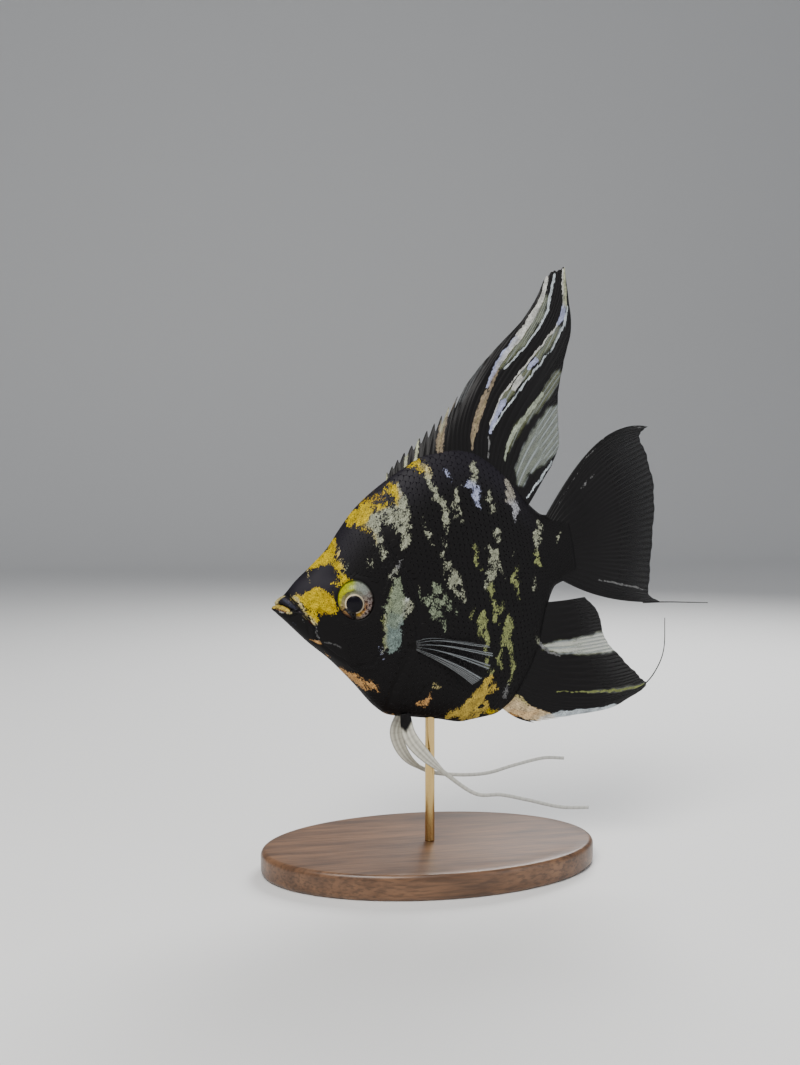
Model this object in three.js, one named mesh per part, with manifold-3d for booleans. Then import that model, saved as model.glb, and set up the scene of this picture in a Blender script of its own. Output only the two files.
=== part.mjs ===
// Marble freshwater angelfish, a still life-size model on a display stand. Millimetres, +Z up.
//
// Row frame: the origin is the centre of the stand's underside, the fish faces -X, its left side faces -Y.
// Body frame, in which the fish is drawn: X runs from the snout (0) to the tail, Y is across, Z is height
// over the body axis. The fish group carries the body frame into the row frame, nose down by PITCH.
import * as THREE from "three";
import { mergeVertices } from "three/addons/utils/BufferGeometryUtils.js";
import Module from "manifold-3d";

const wasm = await Module();
wasm.setup();

// ---------------------------------------------------------------- driving dimensions
const PITCH = THREE.MathUtils.degToRad(10);
const SNOUT = new THREE.Vector3(-38.1, 0, 66);
const GAP = 0.3; // clearance between neighbouring pieces
const TAIL_END = 76.2; // where the flesh of the tail stem stops

const BASE = { length: 84, width: 50, height: 6, bevel: 1.4 };
const ROD = { radius: 1.2, x: 0, top: 40 };

// Edges of the trunk in side view, [x, z]: the back and the belly.
const BACK = [
  [-0.9, -0.6], [0.4, 0.7], [2, 1.7], [5.6, 4.7], [9.3, 7.2], [14.3, 10.9], [18, 14.8], [22.7, 19.3],
  [28, 22.8], [36.7, 27.1], [43, 29.4], [49, 29.8], [54, 28.6], [58, 25.6], [63, 19.4], [67, 12.3],
  [70, 9.4], [TAIL_END, 8.6],
];
const BELLY = [
  [-0.9, -1.4], [-0.2, -2.5], [0.9, -3.9], [5.8, -10.6], [10.3, -15.9], [15, -22.8], [19, -29.3],
  [22, -32.2], [27, -33.8], [34, -35.9], [41, -38], [48, -38], [53, -36.2], [58, -31.3], [63, -23.9],
  [67, -14], [70.5, -8.8], [TAIL_END, -7.6],
];
// Half thickness of the trunk, and the height at which it is thickest.
const HALF_WIDTH = [
  [-0.9, 0.5], [0.4, 1.3], [2, 2.0], [5.6, 3.3], [10, 4.6], [16, 5.9], [22, 6.8], [30, 7.3], [38, 7.0],
  [46, 6.2], [54, 4.9], [62, 3.3], [68, 2.3], [TAIL_END, 1.0],
];
const FULLEST = [
  [-0.9, -1], [5, -2.2], [12, -4], [20, -7], [30, -9], [40, -8], [50, -5], [60, -2], [70, 0.2],
  [TAIL_END, 0.5],
];
const RIDGE_SHARPNESS = 1.3; // 1 is an ellipse; above 1 the back and belly draw in to a ridge
const BELLY_SHARPNESS = 1.1;

// An eyeball: its middle, half length, half height and half depth, how far it stands out of the flank, and
// how far it is turned to look forwards.
const EYE = {
  x: 18.55, z: -2.1, long: 4.5, tall: 5.0, depth: 3.1, stand: 1.9, turn: THREE.MathUtils.degToRad(9),
};

// Key rays of the middle fins, front to back or top to bottom: the ray's root and tip, the angle at which it
// leaves the body and the angle at its tip, in degrees above the X axis.
const DORSAL_RAYS = [
  { root: [31.4, 23.2], tip: [32.5, 26.6], out: 75, end: 60 },
  { root: [35.0, 25.0], tip: [36.6, 29.8], out: 72, end: 60 },
  { root: [39.2, 26.8], tip: [42.0, 33.4], out: 68, end: 60 },
  { root: [43.4, 28.2], tip: [47.4, 37.0], out: 66, end: 62 },
  { root: [46.4, 28.7], tip: [53.0, 41.6], out: 70, end: 56 },
  { root: [49.4, 28.6], tip: [61.3, 49.2], out: 80, end: 48 },
  { root: [52.0, 28.0], tip: [77.3, 61.8], out: 84, end: 44 },
  { root: [54.2, 27.2], tip: [81.8, 68.6], out: 84, end: 74 },
  { root: [56.6, 25.6], tip: [84.6, 69.6], out: 84, end: 78 },
  { root: [58.4, 24.0], tip: [87.0, 70.0], out: 76, end: 82 },
  { root: [60.2, 22.0], tip: [86.4, 56.0], out: 72, end: 62 },
  { root: [61.8, 19.8], tip: [82.6, 46.0], out: 68, end: 42 },
  { root: [63.4, 17.4], tip: [79.4, 36.4], out: 64, end: 44 },
  { root: [65.0, 14.8], tip: [78.0, 26.6], out: 54, end: 42 },
  { root: [66.4, 12.4], tip: [74.8, 21.0], out: 46, end: 42 },
];
const ANAL_RAYS = [
  { root: [50.6, -36.0], tip: [58.0, -41.6], out: -58, end: -14 },
  { root: [51.8, -35.6], tip: [65.0, -42.0], out: -52, end: -6 },
  { root: [53.2, -34.9], tip: [77.4, -42.5], out: -46, end: 2 },
  { root: [54.6, -33.8], tip: [84.6, -40.8], out: -40, end: 12 },
  { root: [56.2, -32.0], tip: [89.4, -38.4], out: -36, end: 16 },
  { root: [58.6, -28.8], tip: [87.2, -35.0], out: -30, end: 8 },
  { root: [60.6, -25.8], tip: [83.4, -29.4], out: -24, end: 2 },
  { root: [62.6, -22.4], tip: [80.6, -24.0], out: -14, end: 0 },
  { root: [64.8, -17.6], tip: [80.4, -18.4], out: -8, end: 0 },
  { root: [66.8, -12.6], tip: [77.6, -13.4], out: -8, end: -2 },
];
const TAIL_RAYS = [
  { root: [70.4, 8.4], tip: [102.4, 26.6], out: 50, end: -20 },
  { root: [71.6, 7.4], tip: [99.8, 24.6], out: 46, end: 8 },
  { root: [72.8, 5.8], tip: [100.8, 19.4], out: 34, end: 16 },
  { root: [73.6, 3.4], tip: [101.2, 12.6], out: 22, end: 14 },
  { root: [74.0, 1.0], tip: [100.4, 5.6], out: 10, end: 8 },
  { root: [74.0, -1.2], tip: [98.8, -2.4], out: -3, end: -3 },
  { root: [73.6, -3.4], tip: [97.0, -10.0], out: -17, end: -14 },
  { root: [72.8, -5.6], tip: [95.4, -16.2], out: -30, end: -16 },
  { root: [71.4, -7.4], tip: [98.4, -18.9], out: -40, end: -10 },
];
const FIN_EDGE_HALF = 0.28; // half thickness at a fin's rim
const RAY_RISE = 0.16; // how far a ray stands proud of the web between rays

const PECTORAL = {
  root: new THREE.Vector3(30.6, 6.1, -15.6),
  rootHeight: 2.2,
  rootHalf: 0.56,
  edgeHalf: 0.26,
  rayRise: 0.12,
  flare: THREE.MathUtils.degToRad(9),
  rays: [
    { tip: [12.6, -1.4], out: 12, end: -14 },
    { tip: [17.8, -3.4], out: 2, end: -14 },
    { tip: [18.4, -5.6], out: -8, end: -20 },
    { tip: [17.2, -8.6], out: -18, end: -30 },
    { tip: [14.4, -11.2], out: -30, end: -44 },
    { tip: [12.2, -12.0], out: -38, end: -52 },
  ],
};

// The two pelvic fins trail apart. Each path runs from the belly to the thread's tip, with y outwards.
const PELVIC_ROOT = [26.2, 1.7, -32.6];
const PELVIC_PATHS = {
  left: [
    PELVIC_ROOT, [26.2, 2.6, -38], [29, 3.2, -43.4], [34.2, 3.6, -50], [40, 3.8, -55.6], [46.2, 4, -57.2],
    [52.6, 4, -60], [60.8, 3.8, -63.8], [68.2, 3.4, -65.8],
  ],
  right: [
    PELVIC_ROOT, [23.8, 2.6, -38], [25.6, 3.2, -44.8], [30.6, 3.8, -49.6], [37.6, 4.2, -52.2],
    [45.4, 4.4, -53.6], [52.6, 4.4, -53.2], [60.6, 4.2, -53], [66.2, 4, -54.2],
  ],
};
// Half widths: what the blade and the root add to the thread's own. The blade takes bladeShare of the length.
const PELVIC = { thread: 0.42, blade: 1.1, root: 0.75, bladeShare: 0.3, threadDepth: 0.34, rootDepth: 0.64 };
// The threads that trail from the rear corner of the anal fin and from the lower corner of the tail.
const ANAL_THREAD = [
  [82.6, -1.5, -39.8], [88.6, -1.8, -38.4], [93, -1.2, -35.2], [96.3, -0.2, -30.6], [98.3, 0.8, -23],
];
const TAIL_THREAD = [
  [93, 0.75, -17.9], [98, 1.25, -18.8], [101.5, 1.5, -19.5], [106, 1.8, -20.5], [111.4, 2.2, -21.7],
];
const THREAD_RADIUS = 0.31;

// ---------------------------------------------------------------- curves and tables
// A smooth curve through the rows of a table, read at x: cubic pieces with slopes that don't overshoot.
function smooth(rows, x) {
  const n = rows.length;
  if (x <= rows[0][0]) return rows[0][1];
  if (x >= rows[n - 1][0]) return rows[n - 1][1];
  const rise = (k) => (rows[k + 1][1] - rows[k][1]) / (rows[k + 1][0] - rows[k][0]);
  const slope = (k) => {
    if (k === 0) return rise(0);
    if (k === n - 1) return rise(n - 2);
    const before = rise(k - 1);
    const after = rise(k);
    return before * after <= 0 ? 0 : (2 * before * after) / (before + after);
  };
  let i = 0;
  while (rows[i + 1][0] < x) i += 1;
  const span = rows[i + 1][0] - rows[i][0];
  const t = (x - rows[i][0]) / span;
  const [t2, t3] = [t * t, t * t * t];
  return (
    rows[i][1] * (2 * t3 - 3 * t2 + 1) + slope(i) * span * (t3 - 2 * t2 + t) +
    rows[i + 1][1] * (3 * t2 - 2 * t3) + slope(i + 1) * span * (t3 - t2)
  );
}

const direction = (degrees) => {
  const a = THREE.MathUtils.degToRad(degrees);
  return [Math.cos(a), Math.sin(a)];
};

// Cubic ray from root to tip, leaving at one angle and ending at another, read at v from 0 to 1.
function rayPoint({ root, tip, out, end }, v) {
  const reach = Math.hypot(tip[0] - root[0], tip[1] - root[1]) * 0.36;
  const a = direction(out);
  const b = direction(end);
  const w = [(1 - v) ** 3, 3 * v * (1 - v) ** 2, 3 * v * v * (1 - v), v ** 3];
  return [0, 1].map(
    (k) => w[0] * root[k] + w[1] * (root[k] + reach * a[k]) + w[2] * (tip[k] - reach * b[k]) + w[3] * tip[k],
  );
}

// A ray of the family at u from 0 to 1, each of its values drawn smoothly through the key rays.
function rayAt(rays, u) {
  const read = (value) => smooth(rays.map((ray, k) => [k / (rays.length - 1), value(ray)]), u);
  return {
    root: [read((r) => r.root[0]), read((r) => r.root[1])],
    tip: [read((r) => r.tip[0]), read((r) => r.tip[1])],
    out: read((r) => r.out),
    end: read((r) => r.end),
  };
}

// ---------------------------------------------------------------- solids
// Makes a solid of loose triangles, [[x, y, z], ...] three at a time.
function solidOf(corners) {
  const flat = new Float32Array(corners.flat());
  const geometry = new THREE.BufferGeometry().setAttribute("position", new THREE.BufferAttribute(flat, 3));
  return solidFrom(geometry);
}

function solidFrom(geometry) {
  const bare = geometry.clone();
  bare.deleteAttribute("normal");
  bare.deleteAttribute("uv");
  const merged = mergeVertices(bare, 1e-4);
  const made = new wasm.Manifold(
    new wasm.Mesh({
      numProp: 3,
      vertProperties: merged.attributes.position.array,
      triVerts: new Uint32Array(merged.index.array),
    }),
  );
  return made.volume() < 0 ? turned(merged) : made;
}

// The same merged mesh with every face turned round.
function turned(merged) {
  const triVerts = new Uint32Array(merged.index.array);
  for (let i = 0; i < triVerts.length; i += 3) {
    [triVerts[i + 1], triVerts[i + 2]] = [triVerts[i + 2], triVerts[i + 1]];
  }
  return new wasm.Manifold(
    new wasm.Mesh({ numProp: 3, vertProperties: merged.attributes.position.array, triVerts }),
  );
}

// A closed skin from rows of points, each row a closed ring, with a fan at both ends.
function tubeSolid(rings) {
  const corners = [];
  const count = rings[0].length;
  const centre = (ring) => [0, 1, 2].map((k) => ring.reduce((sum, p) => sum + p[k], 0) / ring.length);
  for (let i = 0; i + 1 < rings.length; i += 1) {
    for (let j = 0; j < count; j += 1) {
      const [a, b] = [rings[i][j], rings[i][(j + 1) % count]];
      const [c, d] = [rings[i + 1][j], rings[i + 1][(j + 1) % count]];
      corners.push(a, b, c, b, d, c);
    }
  }
  const [first, last] = [rings[0], rings[rings.length - 1]];
  for (let j = 0; j < count; j += 1) {
    const next = (j + 1) % count;
    corners.push(centre(first), first[next], first[j], centre(last), last[j], last[next]);
  }
  return solidOf(corners);
}

// A thin closed web over a grid: point(u, v) gives [x, y, z], half(u, v) its half thickness across Y.
function webSolid(nu, nv, point, half) {
  const side = (sign) =>
    Array.from({ length: nu + 1 }, (_, i) =>
      Array.from({ length: nv + 1 }, (__, j) => {
        const [x, y, z] = point(i / nu, j / nv);
        return [x, y + sign * half(i / nu, j / nv), z];
      }),
    );
  const [left, right] = [side(-1), side(1)];
  const corners = [];
  const quad = (a, b, c, d) => corners.push(a, b, c, a, c, d);
  for (let i = 0; i < nu; i += 1) {
    for (let j = 0; j < nv; j += 1) {
      quad(left[i][j], left[i + 1][j], left[i + 1][j + 1], left[i][j + 1]);
      quad(right[i][j], right[i][j + 1], right[i + 1][j + 1], right[i + 1][j]);
    }
    quad(right[i][0], right[i + 1][0], left[i + 1][0], left[i][0]);
    quad(left[i][nv], left[i + 1][nv], right[i + 1][nv], right[i][nv]);
  }
  for (let j = 0; j < nv; j += 1) {
    quad(left[0][j], left[0][j + 1], right[0][j + 1], right[0][j]);
    quad(right[nu][j], right[nu][j + 1], left[nu][j + 1], left[nu][j]);
  }
  return solidOf(corners);
}

// A slab across the fish whose side view is the closed outline of [x, z] points, from y0 to y1.
function slab(points, y0 = -20, y1 = 20) {
  const shape = new THREE.Shape(points.map(([x, z]) => new THREE.Vector2(x, z)));
  const geometry = new THREE.ExtrudeGeometry(shape, { depth: y1 - y0, bevelEnabled: false });
  geometry.rotateX(Math.PI / 2);
  geometry.translate(0, y1, 0);
  return solidFrom(geometry);
}

// Points of a smooth line through [x, z] points, moved sideways by shift along X.
function smoothLine(points, steps, shift = 0) {
  const curve = new THREE.SplineCurve(points.map(([x, z]) => new THREE.Vector2(x + shift, z)));
  return curve.getPoints(steps).map((p) => [p.x, p.y]);
}

// Only the largest body of a solid that a cut has left in several.
function largest(solid) {
  return solid.decompose().reduce((a, b) => (a.volume() > b.volume() ? a : b));
}

function mirrored(solid) {
  return solid.mirror([0, 1, 0]);
}

// ---------------------------------------------------------------- trunk
const TRUNK_RINGS = 30;
const TRUNK_STEPS = 20;

// One cross-section at x: an upright almond, wider below than above, grown outwards by grow.
function section(x, grow) {
  const top = smooth(BACK, x) + grow;
  const bottom = smooth(BELLY, x) - grow;
  const middle = Math.min(Math.max(smooth(FULLEST, x), bottom + 0.2), top - 0.2);
  const width = smooth(HALF_WIDTH, x) + grow;
  return Array.from({ length: TRUNK_STEPS }, (_, k) => {
    const a = (2 * Math.PI * (k + 0.5)) / TRUNK_STEPS;
    const [c, s] = [Math.cos(a), Math.sin(a)];
    const sharpness = s > 0 ? RIDGE_SHARPNESS : BELLY_SHARPNESS;
    const y = width * Math.sign(c) * Math.abs(c) ** sharpness;
    return [x, y, middle + s * (s > 0 ? top - middle : middle - bottom)];
  });
}

function trunkSolid(grow = 0) {
  const start = BACK[0][0];
  const rings = Array.from({ length: TRUNK_RINGS + 1 }, (_, i) => {
    const t = i / TRUNK_RINGS;
    return section(start + (TAIL_END - start) * t ** 1.15, grow);
  });
  if (grow > 0) {
    const cap = (ring, dx) => ring.map(([x, y, z]) => [x + dx, y, z]);
    rings.unshift(cap(rings[0], -grow));
    rings.push(cap(rings[rings.length - 1], grow));
  }
  return tubeSolid(rings);
}

// The trunk's half thickness at a height z of the section at x.
function flank(x, z) {
  const top = smooth(BACK, x);
  const bottom = smooth(BELLY, x);
  const middle = smooth(FULLEST, x);
  const above = z > middle;
  const share = Math.min(above ? (z - middle) / (top - middle) : (middle - z) / (middle - bottom), 1);
  const sharpness = above ? RIDGE_SHARPNESS : BELLY_SHARPNESS;
  return smooth(HALF_WIDTH, x) * (1 - share * share) ** (sharpness / 2);
}

const whole = trunkSolid();
const grown = trunkSolid(GAP);
const FAR = 60; // beyond the fish in every direction

// Lines that part the flesh, each from top to bottom.
const GILL_LINE = [
  [26.2, 60], [26.5, 32], [27.2, 22], [28, 13], [30, 5.6], [32.4, 0], [33.5, -6.1], [32.6, -10.6],
  [30.4, -14.8], [27, -19.6], [23.4, -25], [21.2, -30], [20.4, -40], [20.2, -60],
];
const STEM_LINE = [[66, 60], [66.4, 24], [67.6, 8], [68.2, 0], [67.4, -8], [66, -24], [65.6, -60]];
const COVER_FRONT = [
  [30, 4.2], [27.4, 2.4], [25.4, -1], [24.4, -5], [24, -10], [22.8, -15], [22.6, -19], [26.2, -21],
];
const COVER_DEPTH = 1.9;
const MOUTH_LINE = [[-6, 0.6], [-0.9, -0.9], [2, -1.5], [5, -2.6]];
const LIPS = [[-6, 4], [1.9, 4], [3.4, 1.2], [5, -1.6], [5.2, -3], [4.6, -6], [3.2, -12], [-6, -12]];

// Flesh to the left and right of a parting line, with the gap between them.
function before(line) {
  const edge = smoothLine(line, 26, -GAP / 2);
  return slab([...edge, [-FAR, edge[edge.length - 1][1]], [-FAR, edge[0][1]]]);
}

function after(line) {
  const edge = smoothLine(line, 26, GAP / 2);
  return slab([...edge, [2 * FAR, edge[edge.length - 1][1]], [2 * FAR, edge[0][1]]]);
}

// Outline of one gill cover: down its free rear edge, which the parting line gives, and back up its front.
function coverOutline() {
  const rear = smoothLine(GILL_LINE, 44).filter(([, z]) => z < 3.8 && z > -20.4);
  const front = smoothLine([...COVER_FRONT].reverse(), 14);
  return [...rear, ...front.slice(1, -1)];
}

// A closed clockwise outline drawn in by a distance all round.
function drawnIn(points, distance) {
  return points.map(([x, z], k) => {
    const [px, pz] = points[(k + points.length - 1) % points.length];
    const [nx, nz] = points[(k + 1) % points.length];
    const length = Math.hypot(nx - px, nz - pz);
    return [x + (distance * (nz - pz)) / length, z - (distance * (nx - px)) / length];
  });
}

// Everything outside the trunk shrunk by depth, so that a cover is a plate of that thickness.
function plateOf(outline, depth, sign) {
  const block = slab(outline, Math.min(0, sign * 20), Math.max(0, sign * 20));
  return block.subtract(trunkSolid(-depth));
}

// An eye, a flattened ball turned a little forwards, grown by grow.
function eyeball(grow, sign) {
  const sphere = new THREE.SphereGeometry(1, 18, 11);
  sphere.rotateX(Math.PI / 2);
  sphere.scale(EYE.long + grow, EYE.depth + grow, EYE.tall + grow);
  sphere.rotateZ(sign * EYE.turn * -1);
  sphere.translate(EYE.x, sign * (flank(EYE.x, EYE.z) - EYE.depth + EYE.stand), EYE.z);
  return solidFrom(sphere);
}

// The stand's rod as the fish frame sees it, grown by the gap, to drill the trunk.
function rodHole() {
  const length = ROD.top + GAP - BASE.height;
  const cylinder = new THREE.CylinderGeometry(ROD.radius + GAP, ROD.radius + GAP, length, 16);
  cylinder.rotateX(Math.PI / 2);
  cylinder.translate(ROD.x, 0, BASE.height + length / 2);
  const toBody = new THREE.Matrix4().makeRotationY(PITCH);
  cylinder.translate(-SNOUT.x, -SNOUT.y, -SNOUT.z);
  cylinder.applyMatrix4(toBody);
  return solidFrom(cylinder);
}

function fleshSolids() {
  const coverHole = coverOutline();
  const coverPlate = drawnIn(coverHole, GAP + 0.1);
  const gillCover = (sign) => largest(whole.intersect(plateOf(coverPlate, COVER_DEPTH, sign)));
  const lips = whole.intersect(slab(LIPS));
  const lipsGrown = slab(LIPS.map(([x, z]) => [x + GAP, z]));
  let head = whole.intersect(before(GILL_LINE)).subtract(lipsGrown);
  for (const sign of [-1, 1]) {
    head = head.subtract(eyeball(GAP, sign));
    head = head.subtract(plateOf(coverHole, COVER_DEPTH + GAP, sign));
  }
  const rest = whole.intersect(after(GILL_LINE));
  return {
    head: largest(head),
    upper_jaw: largest(lips.subtract(pastMouth(-1))),
    lower_jaw: largest(lips.subtract(pastMouth(1))),
    gill_cover_left: gillCover(-1),
    gill_cover_right: gillCover(1),
    trunk: largest(rest.intersect(before(STEM_LINE)).subtract(rodHole())),
    tail_stem: largest(rest.intersect(after(STEM_LINE))),
  };
}

// Everything above (1) or below (-1) the line of the mouth, and half the gap on the other side of it.
function pastMouth(way) {
  const line = [...MOUTH_LINE, [8, -3.6]].map(([x, z]) => [x, z - (way * GAP) / 2]);
  return slab([...line, [8, way * 20], [-6, way * 20]]);
}

// ---------------------------------------------------------------- fins
// Sideways bend of the middle fins, which lean and ripple a little off the middle plane.
const dorsalBend = (u, v) => 2.6 * v * v * Math.sin(2.2 * u + 0.4) + 0.5 * v * Math.sin(9 * u);
const analBend = (u, v) => -2.2 * v * v * Math.cos(1.6 * u) + 0.4 * v * Math.sin(8 * u);
const tailBend = (u, v) => 1.8 * v * v + 0.5 * v * Math.sin(11 * u);

// A middle fin from its key rays. A ray lies on every second column of the grid. Over the first spineShare of
// the fin the spines' tips stand free: the web between two of them stops short by notch.
function middleFin({ rays, columns, rows, bend, rootHalf, spineShare, notch }) {
  const share = (u, v) => {
    const onWeb = Math.round(u * columns) % 2 === 1;
    const cut = onWeb && u < spineShare ? notch : 0;
    return v * (1 - cut);
  };
  const point = (u, v) => {
    const at = share(u, v);
    const [x, z] = rayPoint(rayAt(rays, u), at);
    return [x, bend(u, at), z];
  };
  const half = (u, v) => {
    const onRay = Math.round(u * columns) % 2 === 0;
    const body = FIN_EDGE_HALF + (rootHalf - FIN_EDGE_HALF) * (1 - v) ** 1.6;
    return body + (onRay ? RAY_RISE * (1 - 0.6 * v) : 0);
  };
  return largest(webSolid(columns, rows, point, half).subtract(grown));
}

// One pectoral fin, a fan that leaves the flank behind the gill cover and stands off it by the flare.
function pectoralSolid() {
  const { root, rootHeight, rootHalf, edgeHalf, rayRise, flare, rays } = PECTORAL;
  const full = rays.map((ray, k) => ({
    ...ray,
    root: [0, rootHeight * (0.5 - k / (rays.length - 1))],
  }));
  const columns = 14;
  const point = (u, v) => {
    const [along, up] = rayPoint(rayAt(full, u), v);
    return [root.x + along * Math.cos(flare), -(root.y + along * Math.sin(flare)), root.z + up];
  };
  const half = (u, v) => {
    const onRay = Math.round(u * columns) % 2 === 0;
    return edgeHalf + (rootHalf - edgeHalf) * (1 - v) ** 3 + (onRay ? rayRise : 0);
  };
  return largest(webSolid(columns, 5, point, half).subtract(grown));
}

// A tapering strip swept along a path of [x, y, z] points. width(t) and depth(t) are its half sizes in the
// middle plane and across it, with t from 0 at the root to 1 at the tip.
function stripSolid(path, stations, sides, width, depth) {
  const curve = new THREE.CatmullRomCurve3(path.map((p) => new THREE.Vector3(...p)));
  const rings = Array.from({ length: stations + 1 }, (_, i) => {
    const t = i / stations;
    const centre = curve.getPointAt(t);
    const tangent = curve.getTangentAt(t);
    const across = new THREE.Vector3(0, 1, 0).cross(tangent).normalize();
    const outwards = tangent.clone().cross(across).normalize();
    return Array.from({ length: sides }, (__, k) => {
      const a = (2 * Math.PI * k) / sides;
      const p = centre
        .clone()
        .addScaledVector(across, width(t) * Math.cos(a))
        .addScaledVector(outwards, depth(t) * Math.sin(a));
      return [p.x, p.y, p.z];
    });
  });
  return tubeSolid(rings);
}

function threadSolid(path) {
  const half = () => THREAD_RADIUS;
  return stripSolid(path, 9, 5, half, half);
}

// One pelvic fin: a narrow blade that draws out into a thread, swept along its path.
function pelvicSolid(path, sign) {
  const { thread, blade, root, bladeShare, threadDepth, rootDepth } = PELVIC;
  const swell = (t) => Math.max(Math.sin(Math.min(t / bladeShare, 1) * Math.PI), 0);
  const width = (t) => thread + blade * swell(t) + root * (1 - t) ** 6;
  const depth = (t) => threadDepth + (rootDepth - threadDepth) * (1 - t) ** 3;
  const placed = path.map(([x, y, z]) => [x, sign * y, z]);
  return largest(stripSolid(placed, 24, 6, width, depth).subtract(grown));
}

// ---------------------------------------------------------------- stand
function standBase() {
  const shape = new THREE.Shape();
  const { length, width, height, bevel } = BASE;
  shape.absellipse(0, 0, length / 2 - bevel, width / 2 - bevel, 0, 2 * Math.PI);
  const geometry = new THREE.ExtrudeGeometry(shape, {
    depth: height - 2 * bevel,
    bevelEnabled: true,
    bevelThickness: bevel,
    bevelSize: bevel,
    bevelSegments: 2,
    curveSegments: 18,
  });
  geometry.translate(0, 0, bevel);
  return geometry;
}

function standRod() {
  const length = ROD.top - BASE.height - GAP;
  const rod = new THREE.CylinderGeometry(ROD.radius, ROD.radius, length, 16);
  rod.rotateX(Math.PI / 2);
  rod.translate(ROD.x, 0, BASE.height + GAP + length / 2);
  return rod;
}

// ---------------------------------------------------------------- materials and scene
const finish = (color, roughness, metalness = 0) =>
  new THREE.MeshStandardMaterial({ color, roughness, metalness });
const BLACK_SKIN = finish(0x17151a, 0.5);
const BLACK_FIN = finish(0x100f12, 0.45);
const CLEAR_FIN = finish(0x8f9294, 0.4);
const PALE_THREAD = finish(0xc9c8bf, 0.45);
const EYE_GOLD = finish(0x9c8a4a, 0.2);
const LIP = finish(0x9a8a5c, 0.5);
const WALNUT = finish(0x4a2f1f, 0.45);
const BRASS = finish(0xb08a4a, 0.3, 1);

function geometryOf(solid) {
  const { numProp, vertProperties, triVerts } = solid.getMesh();
  const count = vertProperties.length / numProp;
  const positions = new Float32Array(count * 3);
  for (let i = 0; i < count; i += 1) {
    positions.set(vertProperties.subarray(i * numProp, i * numProp + 3), i * 3);
  }
  return new THREE.BufferGeometry()
    .setAttribute("position", new THREE.BufferAttribute(positions, 3))
    .setIndex(new THREE.BufferAttribute(triVerts, 1));
}

function node(name, geometry, material) {
  const mesh = new THREE.Mesh(geometry, material);
  mesh.name = name;
  return mesh;
}

const fish = new THREE.Group();
fish.position.copy(SNOUT);
fish.rotation.y = -PITCH;

for (const [name, solid] of Object.entries(fleshSolids())) {
  fish.add(node(name, geometryOf(solid), name.endsWith("jaw") ? LIP : BLACK_SKIN));
}

for (const [side, sign] of [["left", -1], ["right", 1]]) {
  fish.add(node(`eye_${side}`, geometryOf(eyeball(0, sign)), EYE_GOLD));
  const fan = pectoralSolid();
  fish.add(node(`pectoral_fin_${side}`, geometryOf(sign < 0 ? fan : mirrored(fan)), CLEAR_FIN));
  fish.add(node(`pelvic_fin_${side}`, geometryOf(pelvicSolid(PELVIC_PATHS[side], sign)), PALE_THREAD));
}

const middleFins = {
  dorsal_fin: {
    rays: DORSAL_RAYS, columns: 32, rows: 8, bend: dorsalBend, rootHalf: 0.66, spineShare: 0.34, notch: 0.3,
  },
  anal_fin: {
    rays: ANAL_RAYS, columns: 26, rows: 6, bend: analBend, rootHalf: 0.66, spineShare: 0.2, notch: 0.18,
    thread: ANAL_THREAD,
  },
  tail_fin: {
    rays: TAIL_RAYS, columns: 24, rows: 6, bend: tailBend, rootHalf: 0.8, spineShare: 0, notch: 0,
    thread: TAIL_THREAD,
  },
};
for (const [name, fin] of Object.entries(middleFins)) {
  const web = middleFin(fin);
  const solid = fin.thread ? web.add(threadSolid(fin.thread)) : web;
  fish.add(node(name, geometryOf(solid), BLACK_FIN));
}

const model = new THREE.Group();
model.add(fish);
model.add(node("stand_base", standBase(), WALNUT));
model.add(node("stand_rod", standRod(), BRASS));

export default model;
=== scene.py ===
"""A life-size museum model of a black marble freshwater angelfish on a display stand.

The fish is drawn in a body frame, in millimetres: x runs from the snout to the tail, y across, its left side
being negative, and z up from the body axis. to_row() carries that frame into the row's frame, nose down, in metres.
"""

import math

import bpy
import numpy as np
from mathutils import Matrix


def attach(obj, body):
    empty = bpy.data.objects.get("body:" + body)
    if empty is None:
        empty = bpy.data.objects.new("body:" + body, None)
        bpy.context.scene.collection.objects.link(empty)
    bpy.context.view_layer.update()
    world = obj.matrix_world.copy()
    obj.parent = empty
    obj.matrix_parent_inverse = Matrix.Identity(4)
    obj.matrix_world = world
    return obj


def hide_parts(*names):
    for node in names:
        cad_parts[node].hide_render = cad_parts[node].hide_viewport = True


MM = 0.001
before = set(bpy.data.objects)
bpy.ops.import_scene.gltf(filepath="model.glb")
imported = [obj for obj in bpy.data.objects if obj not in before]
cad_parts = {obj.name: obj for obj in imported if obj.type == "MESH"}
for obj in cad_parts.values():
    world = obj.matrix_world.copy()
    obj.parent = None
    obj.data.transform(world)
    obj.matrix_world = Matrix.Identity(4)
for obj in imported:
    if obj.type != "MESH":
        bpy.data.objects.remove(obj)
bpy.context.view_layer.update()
rng = np.random.default_rng(7)

# ---------------------------------------------------------------- driving dimensions, millimetres
PITCH = math.radians(10)
SNOUT = (-38.1, 0.0, 66.0)
TAIL_END = 76.2
NOSE_END = -0.9

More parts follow.
